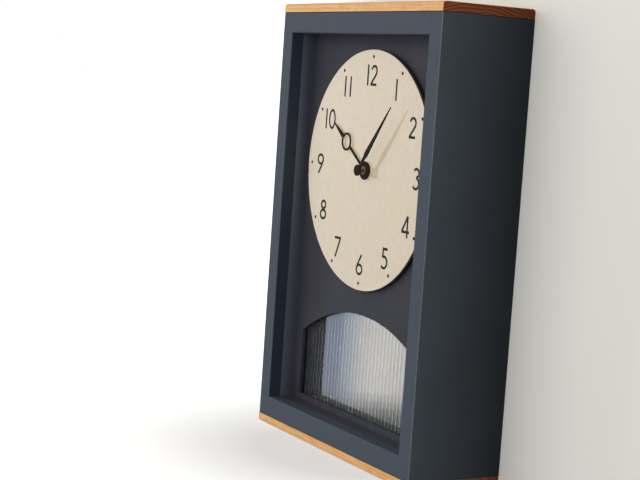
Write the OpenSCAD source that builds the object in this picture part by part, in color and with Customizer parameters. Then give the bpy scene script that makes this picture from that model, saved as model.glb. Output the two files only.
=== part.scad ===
// Wall pendulum clock: a deep painted box with wooden end caps, an open front frame,
// a raised round dial, an arched window of reeded glass, and a quartz pendulum movement.
// The origin is on the floor plane, under the middle of the case. +Z is up and the dial faces -Y.
// Depths are counted back from the front face of the frame.

/* [Case] */
// Overall width
case_w = 274; // [256:1:300]
// Overall height
case_h = 400; // [380:1:440]
// Overall depth
case_d = 90; // [88:1:120]
// Thickness of the wooden end caps
cap_t = 8; // [6:0.5:12]
// Rounding of the caps' outer long edges
cap_edge_r = 3; // [1:0.1:4]
// Thickness of the side panels, and width of the frame stiles
side_t = 18; // [15:0.5:22]
// Thickness of the inner top and bottom boards, and height of the frame rails
deck_t = 19; // [16:0.5:24]
// Thickness of the front frame
frame_t = 12; // [9:0.5:15]
// Rounding of the painted case's arrises
arris_r = 1; // [0.3:0.1:2]

/* [Dial] */
// Gap between the dial's rim and the frame opening, at both sides and the top
dial_gap = 12.6; // [9:0.1:20]
// Thickness of the dial
dial_t = 2; // [1:0.1:3]
// Depth of the dial face behind the frame face
dial_depth = 20; // [19:0.5:24]
// Radius of the hole in the middle of the dial
dial_hole_r = 7.4; // [7:0.1:7.8]
// Thickness of the disc that holds the dial off its board
spacer_t = 4; // [2:0.1:6]
// How far the dial overhangs that disc
spacer_inset = 16; // [8:0.5:30]
// Height of a numeral
numeral_h = 18.6; // [14:0.1:22]
// Width of a numeral's stroke
numeral_stroke = 2.3; // [1:0.1:2.6]
// How far inside the rim the middles of the numerals lie
numeral_inset = 22.4; // [18:0.1:26]
// How far inside the rim the dots lie
dot_inset = 6.1; // [3:0.1:8]
// Radius of an hour dot
hour_dot_r = 1.5; // [0.6:0.1:1.8]
// Radius of a minute dot
minute_dot_r = 0.45; // [0.3:0.05:0.8]
// Thickness of the printed marks
print_t = 0.12; // [0.1:0.01:0.3]

/* [Dial board and window] */
// Thickness of the board that carries the dial
board_t = 3; // [2.5:0.1:5]
// Width of the board left at each side of the arched window
window_side = 12; // [9:0.5:30]
// Height of the board left between the dial's rim and the window's crown
window_gap = 23.1; // [19:0.1:40]
// Height of the board left under the window
sill_h = 5.5; // [3.5:0.1:8]
// Radius of the window's arch
arch_r = 200; // [160:1:260]
// Thickness of the reeded pane over its ribs
pane_t = 4; // [3:0.1:5]
// Height of the ribs on the back of the pane
rib_h = 0.9; // [0.4:0.1:1.2]
// Distance from rib to rib
rib_pitch = 5.8; // [4:0.1:8]
// How far the pane reaches past the window at the sides and the top
pane_lap = 5; // [3:0.1:7]
// Width of the battens that carry the board
batten_w = 12; // [10:0.5:16]
// Depth of the battens behind the board
batten_d = 12; // [12:0.5:24]

/* [Movement] */
// Width of the movement
move_w = 60; // [60:0.5:70]
// Reach of the movement above the hand axis
move_up = 44; // [43.5:0.5:50]
// Reach of the movement below the hand axis
move_down = 60; // [60:0.5:70]
// Depth of the movement's front shell
shell_d = 17; // [17:0.1:20]
// Depth of the movement's rear cover
cover_d = 4; // [4:0.1:6]
// Thickness of the movement's walls
wall_t = 2; // [1.6:0.1:2.2]
// Radius of the threaded neck
neck_r = 4.6; // [4.4:0.05:5]
// Radius of the hour pipe
hour_pipe_r = 2.8; // [2.6:0.05:3]
// Radius of the minute arbor
minute_arbor_r = 2; // [1.7:0.05:2.1]
// Gear module of the wheel train
gear_m = 0.4; // [0.38:0.01:0.42]
// Radial running clearance of arbors and pipes
run_gap = 0.05; // [0.02:0.01:0.1]
// Radius of the battery cell
cell_r = 7.25; // [7:0.05:7.4]
// Length of the battery cell
cell_l = 50.5; // [48:0.1:51]
// Radius of the setting knob
knob_r = 6; // [4:0.1:7]

/* [Hands] */
// Clock hour that the hands show
shown_hour = 10; // [0:1:11]
// Minute that the hands show
shown_minute = 6.7; // [0:0.1:59.9]
// How far the minute hand's tip stays inside the numerals' middles
minute_short = 8.5; // [0:0.1:16]
// Greatest width of the minute hand
minute_w = 5.4; // [4:0.1:7]
// How far the hour hand's tip stays inside the numerals' middles
hour_short = 11.5; // [8:0.1:20]
// Width of the hour hand's shank
hour_w = 2.4; // [1.8:0.1:3.4]
// Outer radius of the ring in the hour hand
hour_ring_r = 8.2; // [6:0.1:10]
// Distance from the axis to the middle of that ring
hour_ring_at = 42.5; // [32:0.5:46]
// Radius of the hour hand's hub disc
hour_hub_r = 8.2; // [8:0.1:10]
// Radius of the minute hand's round cap
minute_cap_r = 5; // [3.5:0.1:6]
// How far that cap stands proud of the minute hand
cap_proud = 0.6; // [0.2:0.1:1]
// Thickness of the sheet that both hands are cut from
hand_t = 0.8; // [0.5:0.1:1.2]
// Gap between the dial face and the hour hand
hour_gap = 1.2; // [0.8:0.1:2]
// Gap between the hour hand and the minute hand
minute_gap = 6.2; // [4:0.1:7]

/* [Pendulum] */
// Gap between the bob and the floor of the case
bob_gap = 25; // [10:1:40]
// Radius of the bob
bob_r = 27; // [18:0.5:32]
// Thickness of the bob
bob_t = 5; // [3:0.1:8]
// Width of the flat pendulum rod
rod_w = 4; // [3:0.1:6]
// Thickness of the flat pendulum rod
rod_t = 1; // [0.8:0.1:1.4]
// Radius of the pivot pin
pivot_r = 1.5; // [1.2:0.05:2]

/* [Back] */
// Thickness of the back panel
back_t = 3; // [2.5:0.1:4]
// Depth of the recess behind the back panel
back_recess = 3; // [3:0.1:6]
// How far the back panel is let into the case
back_rebate = 8; // [7.5:0.1:10]
// Width of the access opening in the back panel
access_w = 90; // [80:1:110]
// Height of the access opening in the back panel
access_h = 130; // [118:1:140]
// Distance from the top of the frame opening down to the keyhole
hanger_drop = 24; // [20:1:40]
// Radius of the keyhole's round hole
keyhole_r = 4; // [3.5:0.1:5]
// Thickness of the hanger plate
hanger_t = 1.5; // [1.2:0.1:2.5]

/* [Hidden] */

// Paint and material colours
slate = [0.30, 0.33, 0.35];
inner_grey = [0.27, 0.27, 0.28];
oak = [0.83, 0.62, 0.40];
cream = [0.87, 0.81, 0.72];
ink = [0.12, 0.14, 0.13];
tan_ink = [0.72, 0.66, 0.57];
steel = [0.72, 0.73, 0.75];
brass = [0.78, 0.62, 0.30];
copper = [0.72, 0.42, 0.22];
hardboard = [0.45, 0.33, 0.22];
black_plastic = [0.10, 0.10, 0.11];
white_plastic = [0.88, 0.88, 0.85];

smooth = 64;
tiny = 0.01;

// Heights
inner_w = case_w - 2*side_t;
floor_z = cap_t + deck_t;
ceiling_z = case_h - cap_t - deck_t;
sill_z = floor_z + sill_h;

// Dial, window and hands
dial_r = inner_w/2 - dial_gap;
axis_z = ceiling_z - dial_gap - dial_r;
numeral_ring_r = dial_r - numeral_inset;
dot_ring_r = dial_r - dot_inset;
minute_len = numeral_ring_r - minute_short;
hour_len = numeral_ring_r - hour_short;
window_w = inner_w - 2*window_side;
crown_z = axis_z - dial_r - window_gap;

// Depths from the front face
dial_back = dial_depth + dial_t;
board_front = dial_back + spacer_t;
board_back = board_front + board_t;
pane_back = board_back + pane_t;
shell_back = board_back + shell_d;
cover_back = shell_back + cover_d;
cover_inside = cover_back - wall_t;
back_panel_back = case_d - back_recess;
back_panel_front = back_panel_back - back_t;
hour_back = dial_depth - hour_gap;
hour_front = hour_back - hand_t;
minute_back = hour_front - minute_gap;
minute_front = minute_back - hand_t;
cap_front = minute_front - cap_proud;

// Wheel train: the motion work turns the hour hand once in twelve turns of the minute hand
centre_teeth = 48;
cannon_teeth = 15;
motion_teeth = 45;
motion_pinion_teeth = 12;
hour_teeth = 48;
drive_teeth = 12;
motion_dist = gear_m*(cannon_teeth + motion_teeth)/2;
drive_dist = gear_m*(centre_teeth + drive_teeth)/2;
motion_z = axis_z + motion_dist;
drive_z = axis_z - drive_dist;
wheel_t = 1.5;
pinion_t = 2.4;
layer_gap = 0.4;
end_gap = 0.2;
wheel_gap = 1.2;
hour_wheel_at = board_back + wall_t + wheel_gap;
motion_pinion_at = hour_wheel_at - (pinion_t - wheel_t)/2;
motion_wheel_at = motion_pinion_at + pinion_t;
cannon_at = motion_wheel_at - (pinion_t - wheel_t)/2 + layer_gap;
centre_wheel_at = cannon_at + pinion_t;
drive_at = centre_wheel_at - layer_gap;
motor_at = drive_at + pinion_t + layer_gap;
motor_w = 24;
motor_h = 16;
drive_pin_r = 0.6;
pin_r = 0.8;
boss_r = 2.4;

// Movement details
cell_z = axis_z + move_up - wall_t - cell_r - 1;
bay_wall_z = cell_z - cell_r - 1 - wall_t;
cell_gap = 0.3;
cell_depth = board_back + wall_t + cell_r + cell_gap;
contact_t = 0.4;
contact_gap = 0.1;
cover_top_z = bay_wall_z + wall_t;
cover_bottom_z = axis_z - move_down;
screw_in = 4.5;
screw_r = 1.2;
screw_gap = 0.1;
move_screw_bite = 8;
move_screw_head = 0.8;
neck_front = dial_depth + 0.4;
nut_t = 2.2;
nut_af = 12;
washer_t = 0.8;
spacer_hole_r = dial_hole_r + 0.2;
board_hole_r = neck_r + 0.2;

// Pendulum details
pivot_z = axis_z - 30;
lever_t = 1.6;
lever_w = 9;
lever_gap = 1;
lever_front = cover_back + lever_gap;
lever_back = lever_front + lever_t;
lever_low = 26;
lever_high = 5;
pin_back = lever_back + 2;
pivot_clip_t = 0.6;
pivot_clip_at = lever_back + 0.3;
pivot_neck_r = pivot_r - 0.4;
magnet_r = 4;
magnet_t = 0.7;
magnet_z = pivot_z - 17;
coil_r = 9;
coil_l = 7;
bob_z = floor_z + bob_gap + bob_r;
rod_top_z = pivot_z - lever_low + 8;

// Back details
back_w = inner_w + 2*back_rebate;
back_low_z = floor_z - back_rebate;
back_high_z = ceiling_z + back_rebate;
hanger_z = ceiling_z - hanger_drop;
hanger_w = 60;
hanger_h = 34;
slot_w = 4;
slot_l = 12;
access_z = axis_z;
wood_screw_r = 1.5;
wood_head_r = 3;
wood_head_t = 1.4;
wood_screw_l = 12;

// Places of the screws that hold the back panel and the pane
back_screw_x = [-inner_w/3, 0, inner_w/3];
clip_x = [-window_w/3, window_w/3];

// Moves a drawing in the X-Z plane to a depth behind the front face and gives it a thickness
module slab(depth, t) {
    translate([0, depth + t - case_d/2, 0]) rotate([90, 0, 0]) linear_extrude(t) children();
}

// Round bar along the depth
module bar(r, d0, d1, x = 0, z = 0, fn = smooth) {
    slab(d0, d1 - d0) translate([x, z]) circle(r, $fn = fn);
}

// Box between two depths
module block(x0, x1, d0, d1, z0, z1) {
    translate([x0, d0 - case_d/2, z0]) cube([x1 - x0, d1 - d0, z1 - z0]);
}

// Countersunk cross-slot wood screw: its head is flush with the X-Y plane and its shank runs up Z
cross_l = 1.24*wood_head_r;
cross_w = 0.6;
cross_d = 0.8;
screw_point_l = 2;
module screw_body(l) {
    difference() {
        rotate_extrude($fn = smooth) polygon([[0, 0], [wood_head_r, 0], [wood_screw_r, wood_head_t],
            [wood_screw_r, l - screw_point_l], [0, l]]);
        for (turn = [0, 90]) rotate([0, 0, turn]) translate([-cross_l/2, -cross_w/2, -tiny])
            cube([cross_l, cross_w, cross_d]);
    }
}

// Seat of that screw
module screw_seat(l) {
    shank = wood_screw_r + screw_gap;
    rim = wood_head_r + screw_gap;
    rotate_extrude($fn = smooth) polygon([[0, -1], [rim, -1], [rim, 0], [shank, wood_head_t],
        [shank, l + screw_gap], [0, l + screw_gap]]);
}

// Puts a screw at a face behind the front, driven forwards
module from_behind(x, z, face) {
    translate([x, face - case_d/2, z]) rotate([90, 0, 0]) children();
}

module wood_screw(x, z, face, l = wood_screw_l) {
    from_behind(x, z, face) screw_body(l);
}

module wood_screw_hole(x, z, face, l = wood_screw_l) {
    from_behind(x, z, face) screw_seat(l);
}

// Involute gear outline
pressure = 25;
addendum = 0.85;
dedendum = 1.15;
tooth_share = 0.44;
flank_steps = 3;
function roll(r, rb) = r <= rb ? 0 : sqrt(pow(r/rb, 2) - 1);
function flank_angle(r, rb) = roll(r, rb)*180/PI - atan(roll(r, rb));
function half_angle(r, n, m) = 180/n*tooth_share
    + flank_angle(m*n/2, m*n/2*cos(pressure)) - flank_angle(r, m*n/2*cos(pressure));
function flank_radii(n, m) = [for (i = [0:flank_steps])
    m*n/2 - dedendum*m + (addendum + dedendum)*m*i/flank_steps];
function gear_points(n, m) = [for (k = [0:n - 1], side = [-1, 1], i = [0:flank_steps])
    let(r = flank_radii(n, m)[side < 0 ? i : flank_steps - i],
        a = 360*k/n + side*half_angle(r, n, m))
    [r*cos(a), r*sin(a)]];

// Toothed wheel whose first tooth stands at the given angle
module gear(n, depth, t, z, first = 90) {
    slab(depth, t) translate([0, z]) rotate(first) polygon(gear_points(n, gear_m));
}

// Rounded plate seen from its end, for the caps
module cap_section() {
    union() {
        square([case_d, cap_t - cap_edge_r]);
        translate([cap_edge_r, 0]) square([case_d - 2*cap_edge_r, cap_t]);
        for (y = [cap_edge_r, case_d - cap_edge_r]) translate([y, cap_t - cap_edge_r])
            circle(cap_edge_r, $fn = 48);
    }
}

// Wooden end cap that lies flush with the painted case, drawn for the top
module end_cap() {
    color(oak) translate([-case_w/2, -case_d/2, 0]) rotate([90, 0, 90]) linear_extrude(case_w)
        cap_section();
}

module top_cap() translate([0, 0, case_h - cap_t]) end_cap();

module bottom_cap() translate([0, 0, cap_t]) mirror([0, 0, 1]) end_cap();

// What the rounding of an arris takes off a corner at the origin, whose solid lies to +X or -X
module arris_waste(toward) {
    difference() {
        translate([toward > 0 ? -1 : -arris_r, -1]) square([arris_r + 1, arris_r + 1]);
        translate([toward*arris_r, arris_r]) circle(arris_r, $fn = 32);
    }
}

// What the rounding takes off the case beside both caps, on the face that is turned this far
module joint_waste(turn, reach) {
    for (joint = [[cap_t, 1], [case_h - cap_t, -1]])
        rotate([0, 0, turn]) translate([0, -reach, joint[0]]) rotate([0, -90, 0])
            linear_extrude(2*case_w, center = true) arris_waste(joint[1]);
}

// Side panel with the rebate for the back panel and blind holes for the batten's screws
module side_panel(side) {
    color(slate) difference() {
        block(min(side*case_w/2, side*inner_w/2), max(side*case_w/2, side*inner_w/2),
              frame_t, case_d, cap_t, case_h - cap_t);
        block(-back_w/2, back_w/2, back_panel_front, case_d + 1, back_low_z, back_high_z);
        for (z = batten_screw_z) from_batten(side, z) screw_seat(batten_screw_l);
        joint_waste(90*side, case_w/2);
    }
}

module side_panel_left() side_panel(-1);

module side_panel_right() side_panel(1);

// Board between the side panels, with the back panel's rebate
module inner_board(z) {
    color(inner_grey) difference() {
        block(-inner_w/2, inner_w/2, frame_t, case_d, z, z + deck_t);
        block(-back_w/2, back_w/2, back_panel_front, case_d + 1, back_low_z, back_high_z);
        for (x = back_screw_x) for (edge = [back_low_z + back_rebate/2, back_high_z - back_rebate/2])
            wood_screw_hole(x, edge, back_panel_back);
    }
}

module inner_top_board() inner_board(ceiling_z);

module inner_bottom_board() inner_board(cap_t);

// Front stile: its outer arris is rounded all the way up, and its inner one along the opening only
module frame_stile(side) {
    color(slate) difference() {
        translate([side < 0 ? -case_w/2 : inner_w/2, -case_d/2, cap_t])
            cube([side_t, frame_t, case_h - 2*cap_t]);
        translate([side*case_w/2, -case_d/2, 0]) linear_extrude(case_h) arris_waste(-side);
        translate([side*inner_w/2, -case_d/2, floor_z]) linear_extrude(ceiling_z - floor_z)
            arris_waste(side);
        joint_waste(0, case_d/2);
        joint_waste(90*side, case_w/2);
    }
}

module frame_stile_left() frame_stile(-1);

module frame_stile_right() frame_stile(1);

// Frame rail between the stiles, with its front arrises rounded
module rail_section(up) {
    difference() {
        square([frame_t, deck_t]);
        translate([0, up ? deck_t : 0]) difference() {
            translate([-1, up ? -arris_r : -1]) square([arris_r + 1, arris_r + 1]);
            translate([arris_r, up ? -arris_r : arris_r]) circle(arris_r, $fn = 32);
        }
    }
}

module frame_rail(z, up) {
    color(slate) difference() {
        translate([-inner_w/2, -case_d/2, z]) rotate([90, 0, 90]) linear_extrude(inner_w)
            rail_section(up);
        joint_waste(0, case_d/2);
    }
}

module frame_rail_top() frame_rail(ceiling_z, false);

module frame_rail_bottom() frame_rail(cap_t, true);

// Arched window: straight sides under a segmental arch
module arch_outline() {
    intersection() {
        translate([-window_w/2, sill_z]) square([window_w, crown_z - sill_z]);
        translate([0, crown_z - arch_r]) circle(arch_r, $fn = 256);
    }
}

module dial_board() {
    color(inner_grey) difference() {
        slab(board_front, board_t) difference() {
            translate([-inner_w/2, floor_z]) square([inner_w, ceiling_z - floor_z]);
            arch_outline();
            translate([0, axis_z]) circle(board_hole_r, $fn = smooth);
        }
        for (x = clip_x)
            bar(wood_screw_r + screw_gap, board_back - clip_screw_bite, board_back + 1, x, clip_z);
    }
}

module dial_spacer() {
    color(inner_grey) slab(dial_back, spacer_t) translate([0, axis_z]) difference() {
        circle(dial_r - spacer_inset, $fn = 128);
        circle(spacer_hole_r, $fn = smooth);
    }
}

module dial_disc() {
    color(cream) slab(dial_depth, dial_t) translate([0, axis_z]) difference() {
        circle(dial_r, $fn = 192);
        circle(dial_hole_r, $fn = smooth);
    }
}

// Strokes of the numerals, drawn on a grid one numeral high
function arc(cx, cy, rx, ry, a0, a1, steps = 14) = [for (i = [0:steps])
    let(a = a0 + (a1 - a0)*i/steps) [cx + rx*cos(a), cy + ry*sin(a)]];
function unit(v) = v/norm(v);
function heading(p, i) = unit(p[min(i + 1, len(p) - 1)] - p[max(i - 1, 0)]);
function left_of(v) = [-v[1], v[0]];
function stroke_outline(p, t) = concat(
    [for (i = [0:len(p) - 1]) p[i] + left_of(heading(p, i))*t/2],
    [for (i = [len(p) - 1:-1:0]) p[i] - left_of(heading(p, i))*t/2]);

half_stroke = numeral_stroke/numeral_h/2;
bowl = 0.28;
foot = half_stroke;
head = 1 - half_stroke;
function digit_strokes(n) =
    n == 1 ? [[[0, 0], [0, 1]]] :
    n == 2 ? [concat(arc(0, 0.70, bowl - 0.04, head - 0.70, 165, -35), [[-bowl + 0.02, foot]]),
              [[-bowl - 0.01, foot], [bowl - 0.03, foot]]] :
    n == 3 ? [arc(-0.02, 0.745, 0.225, head - 0.745, 150, -90),
              arc(-0.02, 0.275, bowl - 0.03, 0.25, 85, -150)] :
    n == 4 ? [[[0.14, 1], [-0.32, 0.27]], [[-0.33, 0.27], [0.32, 0.27]], [[0.14, 1], [0.14, 0]]] :
    n == 5 ? [[[-0.15, head], [0.23, head]], [[-0.14, 1], [-0.17, 0.52]],
              arc(-0.05, 0.31, bowl, 0.275, 115, -140)] :
    n == 6 ? [[[-0.245, 0.34], [-0.17, 0.53], [0.15, 1]]] :
    n == 7 ? [[[-0.29, head], [0.30, head]], [[0.27, head], [-0.15, 0]]] :
    n == 9 ? [[[0.245, 0.66], [0.17, 0.47], [-0.15, 0]]] : [];

// Closed bowls of a digit, as the height of the middle and both half axes
function digit_bowls(n) =
    n == 0 ? [[0.5, 0.27, 0.5 - foot]] :
    n == 6 ? [[0.285, bowl - 0.02, 0.285 - foot]] :
    n == 8 ? [[0.755, 0.205, head - 0.755], [0.275, 0.26, 0.275 - foot]] :
    n == 9 ? [[0.715, bowl - 0.02, head - 0.715]] : [];

module oval(height, rx, ry) {
    polygon([for (a = [0:9:351]) [rx*cos(a), height + ry*sin(a)]]);
}

module digit(n) {
    translate([0, -numeral_h/2]) union() {
        for (s = digit_strokes(n)) polygon(stroke_outline(s*numeral_h, numeral_stroke));
        for (b = digit_bowls(n)*numeral_h) difference() {
            oval(b[0], b[1] + numeral_stroke/2, b[2] + numeral_stroke/2);
            oval(b[0], b[1] - numeral_stroke/2, b[2] - numeral_stroke/2);
        }
    }
}

// Left and right digits of 10, 11 and 12, as shares of a numeral's height
pair_left = [-0.28, -0.25, -0.41];
pair_right = [0.30, 0.25, 0.15];

module dial_numerals() {
    color(ink) for (n = [1:12]) slab(dial_depth - print_t, print_t)
        translate([numeral_ring_r*sin(30*n), axis_z + numeral_ring_r*cos(30*n)])
            if (n < 10) digit(n);
            else {
                translate([pair_left[n - 10]*numeral_h, 0]) digit(1);
                translate([pair_right[n - 10]*numeral_h, 0]) digit(n - 10);
            }
}

module dot(r, minute) {
    a = 6*minute;
    bar(r, dial_depth - print_t, dial_depth, dot_ring_r*sin(a), axis_z + dot_ring_r*cos(a), 16);
}

module hour_dots() {
    color(ink) for (h = [0:11]) dot(hour_dot_r, 5*h);
}

module minute_dots() {
    color(tan_ink) for (m = [0:59]) if (m % 5 > 0) dot(minute_dot_r, m);
}

// Reeded glass: flat in front, round ribs behind
foot_gap = 0.1;
pane_w = window_w + 2*pane_lap;
rib_count = floor(pane_w/rib_pitch);
rib_r = (pow(rib_pitch/2, 2) + pow(rib_h, 2))/(2*rib_h);
pane_low_z = floor_z + foot_gap;
pane_high_z = crown_z + pane_lap;
module reeded_pane() {
    color([0.75, 0.80, 0.82, 0.5])
        translate([0, board_back - case_d/2, pane_low_z]) linear_extrude(pane_high_z - pane_low_z) union() {
            translate([-pane_w/2, 0]) square([pane_w, pane_t - rib_h]);
            intersection() {
                translate([-rib_count*rib_pitch/2, 0]) square([rib_count*rib_pitch, pane_t]);
                for (i = [0:rib_count - 1])
                    translate([(i + 0.5 - rib_count/2)*rib_pitch, pane_t - rib_r]) intersection() {
                        circle(rib_r, $fn = 48);
                        translate([-rib_pitch/2, 0]) square([rib_pitch, rib_r + 1]);
                    }
            }
        }
}

// Clips that press the pane against the back of the board
clip_w = 10;
clip_t = 1.2;
clip_tail = 9;
clip_reach = 4;
clip_gap = 0.5;
clip_low_z = pane_high_z + clip_gap;
clip_z = clip_low_z + clip_tail/2;
module pane_clips() {
    color(steel) for (x = clip_x) difference() {
        union() {
            block(x - clip_w/2, x + clip_w/2, board_back, pane_back + clip_t,
                  clip_low_z, clip_low_z + clip_tail);
            block(x - clip_w/2, x + clip_w/2, pane_back, pane_back + clip_t,
                  pane_high_z - clip_reach, clip_low_z + 1);
        }
        wood_screw_hole(x, clip_z, pane_back + clip_t);
    }
}

clip_screw_bite = 2;
clip_screw_l = pane_t + clip_t + clip_screw_bite;
module pane_clip_screws() {
    color(steel) for (x = clip_x) wood_screw(x, clip_z, pane_back + clip_t, clip_screw_l);
}

// Battens behind the dial board: one glued to each side panel above the pane,
// and a low one on the floor that holds the foot of the pane
batten_low_z = clip_low_z + clip_tail;
batten_x = inner_w/2 - batten_w/2;
batten_screw_inset = 20;
batten_screw_z = [batten_low_z + batten_screw_inset, (batten_low_z + ceiling_z)/2,
                  ceiling_z - batten_screw_inset];
foot_d = 8;
module board_battens() {
    color(hardboard) difference() {
        union() {
            for (side = [-1, 1]) block(side*batten_x - batten_w/2, side*batten_x + batten_w/2,
                board_back, board_back + batten_d, batten_low_z, ceiling_z);
            block(-pane_w/2, pane_w/2, pane_back + foot_gap, pane_back + foot_gap + foot_d,
                floor_z, sill_z - foot_gap);
        }
        for (side = [-1, 1], z = batten_screw_z) from_batten(side, z) screw_seat(batten_screw_l);
    }
}

// Puts a screw on a batten's inner face, driven into the side panel
batten_screw_l = batten_w + 6;
module from_batten(side, z) {
    translate([side*(inner_w/2 - batten_w), board_back + batten_d/2 - case_d/2, z])
        rotate([0, 90*side, 0]) children();
}

module batten_screws() {
    color(steel) for (side = [-1, 1], z = batten_screw_z) from_batten(side, z) screw_body(batten_screw_l);
}

// Back panel with the access opening and room behind the keyhole
module back_panel() {
    color(hardboard) difference() {
        slab(back_panel_front, back_t) difference() {
            translate([-back_w/2, back_low_z]) square([back_w, back_high_z - back_low_z]);
            translate([-access_w/2, access_z - access_h/2]) square([access_w, access_h]);
            translate([0, hanger_z]) circle(keyhole_r + 3, $fn = smooth);
            translate([-slot_w/2 - 2, hanger_z]) square([slot_w + 4, slot_l + 3]);
        }
        for (x = back_screw_x) for (edge = [back_low_z + back_rebate/2, back_high_z - back_rebate/2])
            wood_screw_hole(x, edge, back_panel_back);
        for (x = hanger_screw_x) bar(wood_screw_r + screw_gap, back_panel_front - 1, back_panel_back + 1,
            x, hanger_z);
    }
}

module back_panel_screws() {
    color(steel) for (x = back_screw_x, edge = [back_low_z + back_rebate/2, back_high_z - back_rebate/2])
        wood_screw(x, edge, back_panel_back);
}

// Steel plate with a keyhole: a round hole for the nail's head, and a slot above it
hanger_screw_x = [-hanger_w/2 + 7, hanger_w/2 - 7];
module hanger_plate() {
    color(steel) difference() {
        slab(back_panel_back, hanger_t) difference() {
            translate([-hanger_w/2, hanger_z - hanger_h/2 + 5]) square([hanger_w, hanger_h]);
            translate([0, hanger_z]) circle(keyhole_r, $fn = smooth);
            translate([-slot_w/2, hanger_z]) square([slot_w, slot_l]);
            translate([0, hanger_z + slot_l]) circle(slot_w/2, $fn = 32);
        }
        for (x = hanger_screw_x) wood_screw_hole(x, hanger_z, back_panel_back + hanger_t);
    }
}

hanger_screw_l = back_t + hanger_t;
module hanger_screws() {
    color(steel) for (x = hanger_screw_x)
        wood_screw(x, hanger_z, back_panel_back + hanger_t, hanger_screw_l);
}

// Places of the movement's screws
move_screws = [for (x = [-1, 1], z = [cover_top_z - wall_t/2 - screw_in, cover_bottom_z + screw_in])
    [x*(move_w/2 - screw_in), z]];

// Front shell of the movement, with the threaded neck, the battery bay and the bearings
module movement_shell() {
    color(black_plastic) difference() {
        union() {
            difference() {
                block(-move_w/2, move_w/2, board_back, shell_back, cover_bottom_z, axis_z + move_up);
                block(-move_w/2 + wall_t, move_w/2 - wall_t, board_back + wall_t, shell_back + 1,
                      cover_bottom_z + wall_t, bay_wall_z);
                block(-move_w/2 + wall_t, move_w/2 - wall_t, board_back + wall_t, shell_back + 1,
                      cover_top_z, axis_z + move_up - wall_t);
            }
            bar(neck_r, neck_front, board_back + 1, 0, axis_z);
            bar(boss_r, board_back + 1, motion_pinion_at - 0.2, 0, motion_z);
            for (p = move_screws) bar(3, board_back + 1, shell_back, p[0], p[1]);
        }
        bar(hour_pipe_r + run_gap, neck_front - 1, hour_wheel_at, 0, axis_z);
        bar(pin_r + run_gap, motion_pinion_at - 1.2, motion_pinion_at, 0, motion_z);
        for (p = move_screws)
            bar(screw_r + screw_gap, shell_back - move_screw_bite - 1, shell_back + 1, p[0], p[1]);
    }
}

// Rear cover over the wheels and the coils, with the pendulum's pivot pin
module movement_cover() {
    color(black_plastic) difference() {
        union() {
            block(-move_w/2, move_w/2, shell_back, cover_back, cover_bottom_z, cover_top_z);
            bar(pivot_r, cover_back - 1, pin_back, 0, pivot_z);
            bar(pivot_r + 1.2, cover_back - 1, lever_front - 0.2, 0, pivot_z);
        }
        difference() {
            block(-move_w/2 + wall_t, move_w/2 - wall_t, shell_back - 1, cover_inside,
                  cover_bottom_z + wall_t, cover_top_z - wall_t);
            bar(boss_r, shell_back - 2, cover_back, 0, axis_z);
            bar(boss_r + 0.4, shell_back - 2, cover_back, 0, motion_z);
            for (p = move_screws) bar(3, shell_back - 2, cover_back, p[0], p[1]);
        }
        bar(pin_r + run_gap, shell_back - 2, cover_back - 1, 0, axis_z);
        bar(motion_arbor_r + run_gap, shell_back - 2, cover_back + 1, 0, motion_z);
        for (p = move_screws) bar(screw_r + screw_gap, shell_back - 2, cover_back + 1, p[0], p[1]);
        difference() {
            bar(pivot_r + 1, pivot_clip_at, pivot_clip_at + pivot_clip_t, 0, pivot_z);
            bar(pivot_neck_r, pivot_clip_at - 1, pivot_clip_at + pivot_clip_t + 1, 0, pivot_z);
        }
    }
}

move_slot = 0.5;
module movement_screws() {
    color(steel) for (p = move_screws) difference() {
        union() {
            bar(screw_r, shell_back - move_screw_bite, cover_back, p[0], p[1], 32);
            bar(screw_r + 1, cover_back, cover_back + move_screw_head, p[0], p[1], 32);
        }
        block(p[0] - screw_r, p[0] + screw_r, cover_back + move_screw_head/2,
              cover_back + move_screw_head + 1, p[1] - move_slot/2, p[1] + move_slot/2);
    }
}

module mounting_washer() {
    color(black_plastic) slab(board_front - washer_t, washer_t) translate([0, axis_z]) difference() {
        circle(spacer_hole_r - 0.4, $fn = smooth);
        circle(neck_r + 0.1, $fn = smooth);
    }
}

// Hexagonal nut on the neck, inside the hole of the dial's spacer
module fixing_nut() {
    color(brass) slab(board_front - washer_t - nut_t, nut_t) translate([0, axis_z]) difference() {
        circle(nut_af/2/cos(30), $fn = 6);
        circle(neck_r + 0.1, $fn = smooth);
    }
}

motion_arbor_r = 1.5;

// Centre wheel with its cannon pinion and the arbor that carries the minute hand
module centre_wheel() {
    color(brass) union() {
        bar(minute_arbor_r, minute_back, shell_back - end_gap, 0, axis_z);
        bar(pin_r, shell_back - 1, cover_back - 1.2, 0, axis_z, 32);
        gear(cannon_teeth, cannon_at, pinion_t, axis_z);
        gear(centre_teeth, centre_wheel_at, wheel_t, axis_z, -90);
    }
}

// Motion wheel and its pinion on the arbor of the setting knob
module motion_wheel() {
    color(white_plastic) union() {
        gear(motion_pinion_teeth, motion_pinion_at, pinion_t, motion_z, -90);
        gear(motion_teeth, motion_wheel_at, wheel_t, motion_z, -90 + 180/motion_teeth);
        bar(motion_arbor_r, motion_pinion_at, cover_back + knob_gap, 0, motion_z);
        bar(pin_r, motion_pinion_at - 1, motion_pinion_at + 1, 0, motion_z, 32);
    }
}

// Hour wheel with the pipe that carries the hour hand
module hour_wheel() {
    color(white_plastic) difference() {
        union() {
            gear(hour_teeth, hour_wheel_at, wheel_t, axis_z, 90 + 180/hour_teeth);
            bar(hour_pipe_r, hour_front - collet_reach, hour_wheel_at + 1, 0, axis_z);
        }
        bar(minute_arbor_r + run_gap, hour_front - 2, hour_wheel_at + wheel_t + 1, 0, axis_z);
    }
}

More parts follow.
